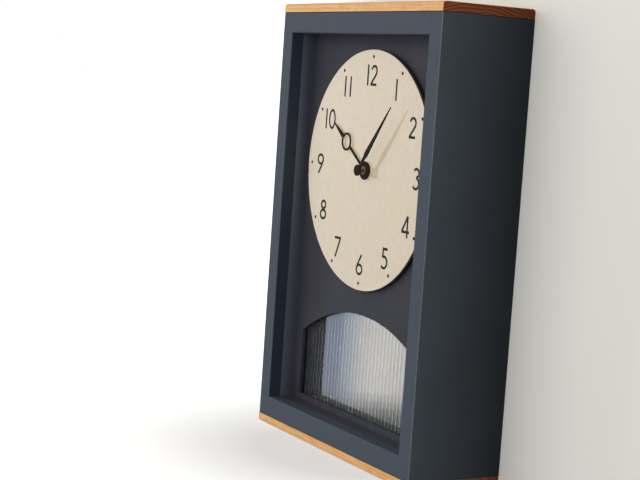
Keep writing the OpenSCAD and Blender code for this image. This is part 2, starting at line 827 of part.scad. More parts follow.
// Pinion of the stepping motor, in mesh with the centre wheel
module drive_pinion() {
    color(white_plastic) union() {
        gear(drive_teeth, drive_at, pinion_t, drive_z, 90 + 180/drive_teeth);
        bar(drive_pin_r, drive_at, motor_at + 2, 0, drive_z, 32);
    }
}

module stepper_motor() {
    color(steel) difference() {
        block(-motor_w/2, motor_w/2, motor_at, cover_inside, drive_z - motor_h + 5, drive_z + 5);
        bar(drive_pin_r + run_gap, motor_at - 1, motor_at + 3, 0, drive_z);
    }
}

// Winding of the motor on its flanged bobbin, under the motor
motor_coil_r = 3.4;
motor_coil_l = 26;
motor_coil_z = drive_z - motor_h + 5 - motor_coil_r;
motor_coil_depth = cover_inside - motor_coil_r;
module motor_coil() {
    color(copper) translate([0, motor_coil_depth - case_d/2, motor_coil_z]) rotate([0, 90, 0]) union() {
        translate([0, 0, -motor_coil_l/2]) cylinder(r = motor_coil_r - 0.6, h = motor_coil_l, $fn = smooth);
        for (x = [-motor_coil_l/2, motor_coil_l/2 - 1]) translate([0, 0, x])
            cylinder(r = motor_coil_r, h = 1, $fn = smooth);
    }
}

// Circuit board on the front wall of the shell, under the wheels
board_w = 38;
board_h = 14;
module circuit_board() {
    color([0.15, 0.40, 0.25]) block(-board_w/2, board_w/2, board_back + wall_t, board_back + wall_t + 1.2,
        magnet_z + coil_r + 1, magnet_z + coil_r + 1 + board_h);
}

// Coil that drives the pendulum's magnet through the cover
module pendulum_coil() {
    color(copper) union() {
        bar(coil_r - 1, cover_inside - coil_l, cover_inside, 0, magnet_z);
        bar(coil_r, cover_inside - 0.8, cover_inside, 0, magnet_z);
        bar(coil_r, cover_inside - coil_l - 0.8, cover_inside - coil_l, 0, magnet_z);
    }
}

// Knurled setting knob behind the cover
knob_t = 3.6;
knob_grips = 18;
knob_groove_r = 0.7;
knob_gap = 0.5;
module setting_knob() {
    color(white_plastic) slab(cover_back + knob_gap, knob_t) translate([0, motion_z]) difference() {
        circle(knob_r, $fn = smooth);
        for (i = [0:knob_grips - 1]) rotate(360*i/knob_grips)
            translate([knob_r + knob_groove_r/2, 0]) circle(knob_groove_r, $fn = 16);
    }
}

// Battery cell lying across the top bay
module battery_cell() {
    color([0.55, 0.57, 0.60]) translate([0, cell_depth - case_d/2, cell_z]) rotate([0, 90, 0]) union() {
        translate([0, 0, -cell_l/2]) cylinder(r = cell_r, h = cell_l - 1.2, $fn = smooth);
        translate([0, 0, cell_l/2 - 1.3]) cylinder(r = 2.6, h = 1.3, $fn = 32);
    }
}

// Sheet contacts at both ends of the bay, the negative one with a raised spring tongue
module battery_contact_plus() {
    x = move_w/2 - wall_t;
    color(steel) union() {
        block(x - contact_t, x, board_back + wall_t, shell_back - 1, cell_z - 5, cell_z + 5);
        block(cell_l/2 + contact_gap, x, cell_depth - 2, cell_depth + 2, cell_z - 2, cell_z + 2);
    }
}

module battery_contact_minus() {
    x = -move_w/2 + wall_t;
    color(steel) union() {
        block(x, x + contact_t, board_back + wall_t, shell_back - 1, cell_z - 5, cell_z + 5);
        block(x, -cell_l/2 - contact_gap, cell_depth - 3, cell_depth + 3, cell_z - 0.6, cell_z + 0.6);
    }
}

// Hour hand: hub disc and collet, straight shank, open ring and lance tip
hour_angle = 30*shown_hour + shown_minute/2;
ring_line = 1.8;
collet_r = hour_pipe_r + 1.05;
collet_reach = 1;
tip_w = 4.4;
tip_shoulder = 1;
tip_root = hour_ring_at + hour_ring_r - ring_line/2;
tip_from = hour_ring_at + hour_ring_r + tip_shoulder;
point_w = 0.6;
module hour_hand_blank() {
    slab(hour_front, hand_t) translate([0, axis_z]) rotate(-hour_angle) children();
}

module hour_hand() {
    color(ink) difference() {
        union() {
            hour_hand_blank() difference() {
                union() {
                    circle(hour_hub_r, $fn = smooth);
                    translate([-hour_w/2, 0]) square([hour_w, hour_ring_at]);
                    translate([0, hour_ring_at]) circle(hour_ring_r, $fn = smooth);
                }
                translate([0, hour_ring_at]) circle(hour_ring_r - ring_line, $fn = smooth);
            }
            hour_hand_blank() polygon([[-hour_w/2, tip_root], [-tip_w/2, tip_from],
                [-point_w/2, hour_len], [point_w/2, hour_len],
                [tip_w/2, tip_from], [hour_w/2, tip_root]]);
        }
        bar(collet_r, hour_front - 1, hour_back + 1, 0, axis_z);
    }
}

// Riveted bush that grips the hour pipe in the hand's hub
module hour_collet() {
    color(steel) slab(hour_front - collet_reach, collet_reach + hand_t)
        translate([0, axis_z]) difference() {
            circle(collet_r, $fn = smooth);
            circle(hour_pipe_r, $fn = smooth);
        }
}

// Minute hand: round cap, narrow neck and long lance
minute_angle = 6*shown_minute;
neck_w = 3;
shoulder_at = 15;
widest_at = 19;
module minute_hand() {
    color(ink) union() {
        slab(minute_front, hand_t) translate([0, axis_z]) rotate(-minute_angle) polygon([
            [-neck_w/2, 0], [-neck_w/2, shoulder_at], [-minute_w/2, widest_at],
            [-point_w/2, minute_len], [point_w/2, minute_len],
            [minute_w/2, widest_at], [neck_w/2, shoulder_at], [neck_w/2, 0]]);
        bar(minute_cap_r, cap_front, minute_back, 0, axis_z);
    }
}

// Lever that rocks on the pin and carries the pendulum
module pendulum_lever() {
    color(white_plastic) slab(lever_front, lever_t) translate([0, pivot_z]) difference() {
        union() {
            circle(lever_high, $fn = smooth);
            translate([-lever_w/2, -lever_low]) square([lever_w, lever_low]);
        }
        circle(pivot_r + run_gap, $fn = smooth);
    }
}

module pendulum_magnet() {
    color(steel) bar(magnet_r, lever_front - magnet_t, lever_front, 0, magnet_z, 32);
}

// Flat rod, lapped on the lever and let into the bob
module pendulum_rod() {
    color(brass) block(-rod_w/2, rod_w/2, lever_back, lever_back + rod_t, bob_z + bob_r - 3, rod_top_z);
}

// Round bob with a turned edge and a slot for the rod's end
bob_front = lever_back + rod_t/2 - bob_t/2;
bob_edge = 1;
module pendulum_bob() {
    color(brass) difference() {
        translate([0, bob_front - case_d/2, bob_z]) rotate([-90, 0, 0]) rotate_extrude($fn = 96) polygon([
            [0, 0], [bob_r - bob_edge, 0], [bob_r, bob_edge], [bob_r, bob_t - bob_edge],
            [bob_r - bob_edge, bob_t], [0, bob_t]]);
        block(-rod_w/2, rod_w/2, lever_back, lever_back + rod_t, bob_z + bob_r - 3, bob_z + bob_r + 1);
    }
}

// Clip in the groove of the pivot pin
module pivot_clip() {
    mouth = 1.4;
    color(steel) slab(pivot_clip_at, pivot_clip_t) translate([0, pivot_z]) difference() {
        circle(pivot_r + 1.6, $fn = smooth);
        circle(pivot_neck_r, $fn = smooth);
        translate([-mouth/2, -pivot_r - 3]) square([mouth, pivot_r + 3]);
    }
}

top_cap();
bottom_cap();
side_panel_left();
side_panel_right();
inner_top_board();
inner_bottom_board();
frame_stile_left();
frame_stile_right();
frame_rail_top();
frame_rail_bottom();
dial_board();
dial_spacer();
dial_disc();
dial_numerals();
hour_dots();
minute_dots();
reeded_pane();
pane_clips();
pane_clip_screws();
board_battens();
batten_screws();
back_panel();
back_panel_screws();
hanger_plate();
hanger_screws();
movement_shell();
movement_cover();
movement_screws();
mounting_washer();
fixing_nut();
centre_wheel();
motion_wheel();
hour_wheel();
drive_pinion();
stepper_motor();
motor_coil();
circuit_board();
pendulum_coil();
setting_knob();
battery_cell();
battery_contact_plus();
battery_contact_minus();
hour_hand();
hour_collet();
minute_hand();
pendulum_lever();
pendulum_magnet();
pendulum_rod();
pendulum_bob();
pivot_clip();
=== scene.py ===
# Looks for the wall pendulum clock: finishes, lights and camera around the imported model
import math

import bpy
from mathutils import Matrix, Vector


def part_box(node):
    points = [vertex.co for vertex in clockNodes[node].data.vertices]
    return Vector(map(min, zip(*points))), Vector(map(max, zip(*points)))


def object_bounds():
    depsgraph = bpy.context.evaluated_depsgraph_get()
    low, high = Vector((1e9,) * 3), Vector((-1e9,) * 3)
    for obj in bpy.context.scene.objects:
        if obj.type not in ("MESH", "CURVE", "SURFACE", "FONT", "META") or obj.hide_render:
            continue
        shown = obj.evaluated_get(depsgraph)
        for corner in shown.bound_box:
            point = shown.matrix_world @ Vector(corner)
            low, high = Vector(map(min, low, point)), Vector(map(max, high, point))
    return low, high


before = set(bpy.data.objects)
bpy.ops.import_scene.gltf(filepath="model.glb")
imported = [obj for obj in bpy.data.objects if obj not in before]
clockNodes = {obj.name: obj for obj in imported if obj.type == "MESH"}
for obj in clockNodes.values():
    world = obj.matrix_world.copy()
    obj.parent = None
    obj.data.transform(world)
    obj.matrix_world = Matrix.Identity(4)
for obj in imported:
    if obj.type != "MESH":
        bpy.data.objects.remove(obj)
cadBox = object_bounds()
caseLow, caseHigh = cadBox
print("frame: loaded", len(clockNodes), "nodes")

millimetre = 0.001
black = (0, 0, 0, 1)
midTones = (0.3, 0.7)  # where most of a noise's values lie
nodeTrees = []  # every node tree made here, laid out at the end


# Colours are written as 0 to 255 screen values and turned into the linear ones that shaders take
def srgb(red, green, blue):
    def linear(value):
        part = value / 255
        return part / 12.92 if part <= 0.04045 else ((part + 0.055) / 1.055) ** 2.4
    return (linear(red), linear(green), linear(blue), 1.0)


# Low and high corner of a node's box in millimetres
def cornersOf(node):
    low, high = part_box(node)
    return low * 1000, high * 1000


def middleOf(node):
    low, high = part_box(node)
    return tuple((low + high) / 2 * 1000)


# A value goes into a socket as a link when it comes from another node, and as a number otherwise
def plug(socket, value):
    if isinstance(value, bpy.types.NodeSocket):
        socket.id_data.links.new(value, socket)
    else:
        socket.default_value = value


def addNode(tree, kind, values=None, **settings):
    node = tree.nodes.new("ShaderNode" + kind)
    for name, value in settings.items():
        setattr(node, name, value)
    for socket, value in (values or {}).items():
        plug(node.inputs[socket], value)
    return node


def emptyTree(owner):
    owner.use_nodes = True
    owner.node_tree.nodes.clear()
    nodeTrees.append(owner.node_tree)
    return owner.node_tree


# Columns of nodes, each node to the left of all that it feeds
def arrange(tree, columnWidth=260, rowHeight=300):
    columns = {node.name: 0 for node in tree.nodes}
    settled = False
    while not settled:
        settled = True
        for link in tree.links:
            needed = columns[link.to_node.name] + 1
            if columns[link.from_node.name] < needed:
                columns[link.from_node.name] = needed
                settled = False
    rows = dict.fromkeys(columns.values(), 0)
    for node in tree.nodes:
        column = columns[node.name]
        node.location = (-column * columnWidth, -rows[column] * rowHeight)
        rows[column] += 1


def maths(tree, operation, first, second=None, clamp=False):
    node = addNode(tree, "Math", {0: first}, operation=operation, use_clamp=clamp)
    if second is not None:
        plug(node.inputs[1], second)
    return node.outputs[0]


def times(tree, first, second, clamp=False):
    return maths(tree, "MULTIPLY", first, second, clamp)


def vectorMaths(tree, operation, first, second=None):
    node = addNode(tree, "VectorMath", {0: first}, operation=operation)
    if second is not None:
        plug(node.inputs["Scale" if operation == "SCALE" else 1], second)
    return node.outputs["Value" if operation in ("LENGTH", "DOT_PRODUCT") else "Vector"]


def split(tree, vector):
    return addNode(tree, "SeparateXYZ", {0: vector}).outputs


def remap(tree, value, fromLow, fromHigh, toLow=0.0, toHigh=1.0):
    return addNode(tree, "MapRange", {
        0: value, 1: fromLow, 2: fromHigh, 3: toLow, 4: toHigh}, clamp=True).outputs[0]


def mixColours(tree, share, first, second, blend="MIX"):
    mixed = addNode(tree, "Mix", {0: share, 6: first, 7: second}, data_type="RGBA", blend_type=blend)
    return mixed.outputs[2]


# One colour over another where a mask says, up to the given share
def coat(tree, under, over, mask, share=None):
    return mixColours(tree, mask if share is None else times(tree, mask, share), under, over)


# Noise of one scale, or of another one along each axis
def noise(tree, vector, scale, detail=3.0, roughness=0.55, distortion=0.0):
    if isinstance(scale, tuple):
        vector = addNode(tree, "Mapping", {"Vector": vector, "Scale": scale}).outputs[0]
        scale = 1.0
    return addNode(tree, "TexNoise", {
        "Vector": vector, "Scale": scale, "Detail": detail,
        "Roughness": roughness, "Distortion": distortion}).outputs[0]


# The piece's own place in millimetres, which follows it when it moves
def millimetres(tree):
    return vectorMaths(tree, "MULTIPLY", addNode(tree, "TexCoord").outputs["Object"], (1000, 1000, 1000))


# A normal in the piece's own space, which turns with it
def ownNormal(tree, kind):
    surface = addNode(tree, "NewGeometry").outputs[kind]
    return addNode(tree, "VectorTransform", {0: surface}, vector_type="NORMAL",
                   convert_from="WORLD", convert_to="OBJECT").outputs[0]


# A shared effect. Its inputs are a place and what is named; it gives out masks, and a normal where
# the name says so
def makeGroup(name, inputs, outputs):
    group = bpy.data.node_groups.new(name, "ShaderNodeTree")
    nodeTrees.append(group)
    for label, value in {"Place": (0, 0, 0), **inputs}.items():
        kind = "NodeSocketFloat" if isinstance(value, float) else "NodeSocketVector"
        group.interface.new_socket(name=label, in_out="INPUT", socket_type=kind).default_value = value
    for label in outputs:
        kind = "NodeSocketVector" if "Normal" in label else "NodeSocketFloat"
        group.interface.new_socket(name=label, in_out="OUTPUT", socket_type=kind)
    return group, group.nodes.new("NodeGroupInput").outputs, group.nodes.new("NodeGroupOutput").inputs


def giveOut(leave, values):
    for label, value in values.items():
        plug(leave[label], value)


def useGroup(tree, group, place, values=None):
    return addNode(tree, "Group", {"Place": place, **(values or {})}, node_tree=group).outputs


# Timber figure: rings round an axis along X, long fibres and fine pores
def buildWoodGroup():
    group, given, leave = makeGroup(
        "timberFigure", {"Heart": (0, 0, 0), "Ring Width": 3.0, "Waviness": 1.0, "Fibre Density": 1.0},
        ["Rings", "Fibres", "Pores", "Mottle", "End Grain", "Height"])
    place = vectorMaths(group, "SUBTRACT", given["Place"], given["Heart"])
    wander = noise(group, place, (0.006, 0.05, 0.05), 3.0, 0.5)
    shift = times(group, wander, given["Waviness"])
    parts = split(group, place)
    flat = addNode(group, "CombineXYZ", {1: parts[1], 2: parts[2]}).outputs[0]
    grown = maths(group, "ADD", vectorMaths(group, "LENGTH", flat), times(group, shift, 9.0))
    saw = maths(group, "FRACT", maths(group, "DIVIDE", grown, given["Ring Width"]))
    late = remap(group, saw, 0.35, 0.96)
    fall = remap(group, saw, 0.96, 1.0, 1.0, 0.0)
    threads = addNode(group, "Mapping", {"Vector": place, "Scale": (0.035, 1.6, 1.6)}).outputs[0]
    fibres = noise(group, vectorMaths(group, "SCALE", threads, given["Fibre Density"]), 1.0, 4.0, 0.6)
    pores = remap(group, noise(group, place, (0.12, 3.4, 3.4), 2.0, 0.5), 0.60, 0.70)
    across = split(group, ownNormal(group, "True Normal"))[0]
    giveOut(leave, {
        "Rings": times(group, maths(group, "POWER", late, 1.8), fall),
        "Fibres": fibres,
        "Pores": pores,
        "Mottle": noise(group, place, (0.045, 0.16, 0.16), 3.0, 0.6, 0.6),
        "End Grain": remap(group, maths(group, "ABSOLUTE", across), 0.55, 0.85),
        "Height": maths(group, "SUBTRACT", times(group, fibres, 0.6), times(group, pores, 0.5))})
    return group


# Rubbed arrises: where the rounded normal leaves the flat one
def buildEdgeGroup():
    group, given, leave = makeGroup("edgeRub", {"Width": 0.0008, "Breakup": 0.5}, ["Mask", "Rounded Normal"])
    rounded = addNode(group, "Bevel", {"Radius": given["Width"]}, samples=6).outputs[0]
    flat = addNode(group, "NewGeometry").outputs["Normal"]
    edge = remap(group, vectorMaths(group, "DOT_PRODUCT", rounded, flat), 0.995, 0.80)
    spared = remap(group, noise(group, given["Place"], 0.35, 4.0, 0.65), 0.38, 0.62)
    kept = maths(group, "SUBTRACT", 1.0, times(group, given["Breakup"], spared))
    giveOut(leave, {"Mask": times(group, edge, kept, clamp=True), "Rounded Normal": rounded})
    return group


# Mask of arrises that are rounded in the solid, where their normals point between two axes, for rubbed paint
# with a painted highlight
def buildArrisGroup():
    group, given, leave = makeGroup("arrisRubHighlight", {"Breakup": 0.4}, ["Mask"])
    facing = ownNormal(group, "Normal")
    parts = split(group, vectorMaths(group, "MULTIPLY", facing, facing))
    largest = maths(group, "MAXIMUM", maths(group, "MAXIMUM", parts[0], parts[1]), parts[2])
    patches = remap(group, noise(group, given["Place"], 0.25, 4.0, 0.65), 0.4, 0.6)
    kept = maths(group, "SUBTRACT", 1.0, times(group, patches, given["Breakup"]))
    giveOut(leave, {"Mask": times(group, remap(group, largest, 0.97, 0.62), kept, clamp=True)})
    return group


# Sprayed or brushed paint: low orange peel, faint brush lines and slow drifts of tone
def buildPaintGroup():
    group, given, leave = makeGroup("paintSkin", {"Brush Scale": (0.02, 1.2, 1.2), "Peel Scale": 0.9},
                                    ["Height", "Drift", "Brush", "Specks"])
    place = given["Place"]
    peel = noise(group, place, given["Peel Scale"], 3.0, 0.55)
    lines = noise(group, vectorMaths(group, "MULTIPLY", place, given["Brush Scale"]), 1.0, 3.0, 0.6)
    giveOut(leave, {
        "Height": maths(group, "ADD", times(group, peel, 0.55), times(group, lines, 0.45)),
        "Drift": noise(group, place, 0.014, 3.0, 0.55),
        "Brush": lines,
        "Specks": remap(group, noise(group, place, 2.6, 2.0, 0.5), 0.68, 0.76)})
    return group


# Fine dust that settles on whatever faces up
def buildDustGroup():
    group, given, leave = makeGroup("settledDust", {"Amount": 0.3}, ["Mask"])
    upward = split(group, addNode(group, "NewGeometry").outputs["Normal"])[2]
    fluff = remap(group, noise(group, given["Place"], 0.22, 5.0, 0.7), 0.35, 0.75)
    lying = times(group, remap(group, upward, 0.5, 0.95), fluff)
    giveOut(leave, {"Mask": times(group, lying, given["Amount"], clamp=True)})
    return group


# Metal drawn or brushed along one direction
def buildBrushedGroup():
    group, given, leave = makeGroup("brushedMetal", {"Line Scale": (0.05, 4.0, 4.0)}, ["Lines", "Tarnish"])
    drawn = vectorMaths(group, "MULTIPLY", given["Place"], given["Line Scale"])
    giveOut(leave, {
        "Lines": noise(group, drawn, 1.0, 4.0, 0.65),
        "Tarnish": noise(group, given["Place"], 0.12, 4.0, 0.6)})
    return group


# Fine rings left by a lathe, round an axis along the depth of the clock
def buildTurnedGroup():
    group, given, leave = makeGroup("turnedRings", {"Centre": (0, 0, 0), "Pitch": 0.35}, ["Rings"])
    parts = split(group, vectorMaths(group, "SUBTRACT", given["Place"], given["Centre"]))
    flat = addNode(group, "CombineXYZ", {0: parts[0], 2: parts[2]}).outputs[0]
    step = maths(group, "DIVIDE", vectorMaths(group, "LENGTH", flat), given["Pitch"])
    lined = addNode(group, "TexNoise", {"W": step, "Scale": 1.0, "Detail": 3.0}, noise_dimensions="1D")
    giveOut(leave, {"Rings": lined.outputs[0]})
    return group


# Spark-eroded texture and flow marks of moulded plastic
def buildMouldedGroup():
    group, given, leave = makeGroup("mouldedSkin", {"Grain": 3.0}, ["Height", "Flow"])
    pebbles = addNode(group, "TexVoronoi", {"Vector": given["Place"], "Scale": given["Grain"]})
    giveOut(leave, {"Height": pebbles.outputs[0], "Flow": noise(group, given["Place"], 0.08, 3.0, 0.5, 1.2)})
    return group


# Pressed or felted fibres, for board and card
def buildFibreGroup():
    group, given, leave = makeGroup("feltedFibres", {"Fineness": 1.0}, ["Fibres", "Clouds", "Shives"])
    scaled = vectorMaths(group, "SCALE", given["Place"], given["Fineness"])
    first = noise(group, scaled, (0.5, 2.0, 2.4), 4.0, 0.65, 0.8)
    second = noise(group, scaled, (2.4, 2.0, 0.5), 4.0, 0.65, 0.8)
    chips = noise(group, scaled, (0.7, 1.5, 1.5), 2.0, 0.5, 2.0)
    giveOut(leave, {
        "Fibres": times(group, times(group, first, second), 3.0, clamp=True),
        "Clouds": noise(group, scaled, 0.07, 4.0, 0.6),
        "Shives": remap(group, chips, 0.66, 0.72)})
    return group


woodFigure = buildWoodGroup()
arrisRubHighlight = buildArrisGroup()
edgeRub = buildEdgeGroup()
paintSkin = buildPaintGroup()
settledDust = buildDustGroup()
brushedMetal = buildBrushedGroup()
turnedRings = buildTurnedGroup()
mouldedSkin = buildMouldedGroup()
feltedFibres = buildFibreGroup()
print("groups: built the shared effects")


# A new material with its Principled shader and the piece's place in millimetres
def startMaterial(name):
    material = bpy.data.materials.new(name)
    tree = emptyTree(material)
    shader = addNode(tree, "BsdfPrincipled")
    addNode(tree, "OutputMaterial", {"Surface": shader.outputs[0]})
    return material, tree, shader.inputs, millimetres(tree)


# The sockets that every finish ends in. A look gives its roughness at both ends of a mask, its
# relief in mm and, where they aren't the usual ones, its gloss and metal
def dress(tree, shader, look, colour, mask, ends, height, strength=0.5, normal=None):
    plug(shader["Base Color"], colour)
    plug(shader["Roughness"], remap(tree, mask, *ends, *look["roughness"]))
    for label, key in (("Specular IOR Level", "gloss"), ("Metallic", "metallic")):
        if key in look:
            shader[label].default_value = look[key]
    relief = addNode(tree, "Bump", {
        "Height": height, "Distance": look["relief"] * millimetre, "Strength": strength})
    if normal is not None:
        plug(relief.inputs["Normal"], normal)
    plug(shader["Normal"], relief.outputs[0])


# Oiled oak of the two end caps
oakLook = {
    "heart": (0, -13, -132),  # mm, where the rings centre, measured from the middle of the cap
    "ringWidth": 3.0,
    "pale": srgb(250, 202, 138),
    "warm": srgb(228, 168, 98),
    "pore": srgb(150, 92, 44),
    "endPale": srgb(162, 86, 48),
    "endDark": srgb(68, 40, 18),
    "dust": srgb(206, 200, 190),
    "roughness": (0.42, 0.64),
    "gloss": 0.35,
    "relief": 0.06,
}


def oakMaterial(name, heart, look=oakLook):
    material, tree, shader, place = startMaterial(name)
    wood = useGroup(tree, woodFigure, place, {
        "Heart": heart, "Ring Width": look["ringWidth"], "Waviness": 0.6, "Fibre Density": 1.2})
    edges = useGroup(tree, edgeRub, place, {"Width": 0.7 * millimetre})
    dust = useGroup(tree, settledDust, place, {"Amount": 0.10})
    figured = maths(tree, "ADD", times(tree, wood["Mottle"], 0.9), times(tree, wood["Rings"], 0.45))
    face = mixColours(tree, remap(tree, figured, 0.25, 0.85), look["pale"], look["warm"])
    threads = remap(tree, wood["Fibres"], 0.45, 0.75, 0.0, 0.4)
    fibrous = mixColours(tree, threads, face, look["warm"], "MULTIPLY")
    pored = coat(tree, fibrous, look["pore"], wood["Pores"], 0.55)
    endTone = maths(tree, "ADD", times(tree, wood["Rings"], 0.85), times(tree, wood["Fibres"], 0.35))
    endFace = mixColours(tree, remap(tree, endTone, 0.2, 0.85), look["endPale"], look["endDark"])
    rubbed = coat(tree, coat(tree, pored, endFace, wood["End Grain"]), look["pale"], edges["Mask"], 0.30)
    colour = coat(tree, rubbed, look["dust"], dust["Mask"])
    if "paintedTo" in look:
        painted = maths(tree, "LESS_THAN", split(tree, place)[2], look["paintedTo"])
        colour = coat(tree, colour, look["paint"], painted)
    dress(tree, shader, look, colour, wood["Fibres"], (0.2, 0.8),
          wood["Height"], 0.6, edges["Rounded Normal"])
    return material


# The rings of each cap centre far below it, so that its ends show low arches
def heartOf(node):
    return tuple(middle + offset for middle, offset in zip(middleOf(node), oakLook["heart"]))


# Slate paint of the case; its inner faces carry a tone of their own, with painted shade on the stiles'
# reveals and painted light and shade on the sides
slateLook = {
    "base": srgb(75, 84, 96),
    "deep": srgb(69, 77, 89),
    # pale rub on the arrises, partly wear and partly a painted highlight
    "rub": srgb(186, 196, 206),
    "rubHighlightReach": 2.5,  # mm from the outer sides within which the upright arrises get rubbed paint and a painted highlight
    # painted shade: the stiles' inner faces in the opening are painted darker
    "revealShade": srgb(54, 64, 78),
    "inner": srgb(84, 87, 101),
    "innerPaintedLight": srgb(106, 111, 126),
    "innerPaintedLightReach": (10, 1),  # mm behind the frame between which that painted light comes in
    # painted shade: a dark line in the groove along each cap
    "joint": srgb(24, 27, 25),
    "jointShadeReach": (0.9, 0.3),  # mm from a cap between which the painted shade beside it comes in
    "dust": srgb(120, 119, 115),
    "paintedLightFront": (1.38, 1.33, 1.22, 1),  # painted light: the front of a side is painted lighter, where it would be lit most
    "kept": (0.66, 0.64, 0.60, 1),  # and painted shade: it is painted darker next to the wall
    "roughness": (0.57, 0.68),
    "gloss": 0.12,
    "relief": 0.030,
}


def slateMaterial(name, brushScale, innerTone=None, innerPaintedLight=None, look=slateLook):
    material, tree, shader, place = startMaterial(name)
    skin = useGroup(tree, paintSkin, place, {"Brush Scale": brushScale, "Peel Scale": 0.8})
    dust = useGroup(tree, settledDust, place, {"Amount": 0.10})
    arris = useGroup(tree, arrisRubHighlight, place, {"Breakup": 0.35})["Mask"]
    across, depth, level = split(tree, place)
    outwards = maths(tree, "ABSOLUTE", across)
    tone = maths(tree, "ADD", times(tree, skin["Drift"], 0.7), times(tree, skin["Brush"], 0.3))
    colour = mixColours(tree, remap(tree, tone, 0.35, 0.65), look["deep"], look["base"])
    # Painted light and shade: the outer sides are painted lighter towards the front and darker next to the
    # wall
    towardsWall = remap(tree, depth, caseLow.y * 1000, caseHigh.y * 1000)
    sideLightAndShade = mixColours(tree, towardsWall, look["paintedLightFront"], look["kept"])
    shadedSides = vectorMaths(tree, "MULTIPLY", colour, sideLightAndShade)
    sideways = split(tree, addNode(tree, "NewGeometry").outputs["True Normal"])[0]
    colour = coat(tree, colour, shadedSides, remap(tree, maths(tree, "ABSOLUTE", sideways), 0.80, 0.98))
    # The inner faces lie at the opening's own half width
    inside = maths(tree, "LESS_THAN", outwards, cornersOf("frame_rail_top")[1].x + 0.3)
    if innerTone:
        colour = coat(tree, colour, innerTone, inside)
    # Painted light: the inner faces are painted lighter just behind the frame, darker deeper in
    if innerPaintedLight:
        frameBack = cornersOf("frame_stile_left")[1].y
        forward = remap(tree, depth, *(frameBack + reach for reach in look["innerPaintedLightReach"]))
        colour = coat(tree, colour, innerPaintedLight, times(tree, forward, inside))
    # The outer upright arrises get rubbed paint with a painted highlight, and the joints with the caps a
    # dark line of painted shade
    outer = maths(tree, "GREATER_THAN", outwards, caseHigh.x * 1000 - look["rubHighlightReach"])
    colour = coat(tree, colour, look["rub"], times(tree, arris, times(tree, outer, 0.30)))
    capLow, capHigh = cornersOf("top_cap")[0].z, cornersOf("bottom_cap")[1].z
    upper = remap(tree, level, *(capLow - reach for reach in look["jointShadeReach"]))
    lower = remap(tree, level, *(capHigh + reach for reach in look["jointShadeReach"]))
    colour = coat(tree, colour, look["joint"], maths(tree, "MAXIMUM", upper, lower))
    colour = coat(tree, colour, look["dust"], dust["Mask"])
    dress(tree, shader, look, colour, skin["Drift"], midTones, skin["Height"])
    return material


# Matt charcoal paint inside the case
boardLook = {
    "base": srgb(66, 67, 77),
    "deep": srgb(58, 59, 68),
    "fleck": srgb(96, 95, 98),
    "dust": srgb(96, 95, 94),
    "roughness": (0.70, 0.83),
    "gloss": 0.16,
    "relief": 0.05,
}


def boardMaterial(look=boardLook):
    material, tree, shader, place = startMaterial("charcoalBoardPaint")
    skin = useGroup(tree, paintSkin, place, {"Brush Scale": (0.9, 0.9, 0.05), "Peel Scale": 1.1})
    dust = useGroup(tree, settledDust, place, {"Amount": 0.3})
    body = mixColours(tree, remap(tree, skin["Drift"], 0.35, 0.65), look["deep"], look["base"])
    flecked = coat(tree, body, look["fleck"], skin["Specks"], 0.25)
    colour = coat(tree, flecked, look["dust"], dust["Mask"])
    dress(tree, shader, look, colour, skin["Brush"], midTones, skin["Height"])
    return material


# Planed softwood battens; the one behind the pane's foot is painted with the board
battenLook = dict(oakLook, pale=srgb(222, 186, 138), warm=srgb(196, 150, 100), pore=srgb(166, 118, 74),
                  endPale=srgb(206, 160, 110), endDark=srgb(160, 108, 66), ringWidth=2.4,
                  roughness=(0.52, 0.74), heart=(0, 60, -40),
                  paintedTo=cornersOf("inner_bottom_board")[1].z + 7, paint=boardLook["deep"])

# Cream card of the dial, with a darker cut edge
dialLook = {
    "cream": srgb(221, 204, 180),
    "tan": srgb(217, 199, 174),
    "fibre": srgb(205, 184, 154),
    "shive": srgb(176, 150, 116),
    "edge": srgb(122, 110, 98),
    "roughness": (0.56, 0.70),
    "gloss": 0.12,
    "relief": 0.012,
}


def dialMaterial(look=dialLook):
    material, tree, shader, place = startMaterial("creamDialCard")
    card = useGroup(tree, feltedFibres, place, {"Fineness": 1.6})
    face = mixColours(tree, remap(tree, card["Clouds"], 0.35, 0.68), look["cream"], look["tan"])
    fibrous = coat(tree, face, look["fibre"], card["Fibres"], 0.05)
    flecked = coat(tree, fibrous, look["shive"], card["Shives"], 0.04)
    forwards = split(tree, addNode(tree, "NewGeometry").outputs["True Normal"])[1]
    rim = remap(tree, maths(tree, "ABSOLUTE", forwards), 0.6, 0.3)
    colour = coat(tree, flecked, look["edge"], rim)
    dress(tree, shader, look, colour, card["Fibres"], (0.2, 0.9), card["Fibres"], 0.4)
    return material


# Printed marks: the ink lies a little unevenly on the card
inkLook = {
    "dense": srgb(34, 37, 34),
    "thin": srgb(48, 50, 46),
    "roughness": (0.7, 0.8),
    "gloss": 0.08,
    "relief": 0.01,
}
faintInkLook = dict(inkLook, dense=srgb(178, 160, 132), thin=srgb(192, 174, 146))


def inkMaterial(name, look):
    material, tree, shader, place = startMaterial(name)
    card = useGroup(tree, feltedFibres, place, {"Fineness": 2.5})
    body = coat(tree, look["dense"], look["thin"], card["Fibres"], 0.6)
    worn = coat(tree, body, look["thin"], card["Clouds"], 0.35)
    dress(tree, shader, look, worn, card["Fibres"], (0.1, 0.9), card["Fibres"], 0.4)
    return material


# Dull black lacquer of the hands
handLook = {
    "black": srgb(36, 35, 34),
    "worn": srgb(60, 58, 56),
    "roughness": (0.64, 0.78),
    "gloss": 0.06,
    "relief": 0.02,
}


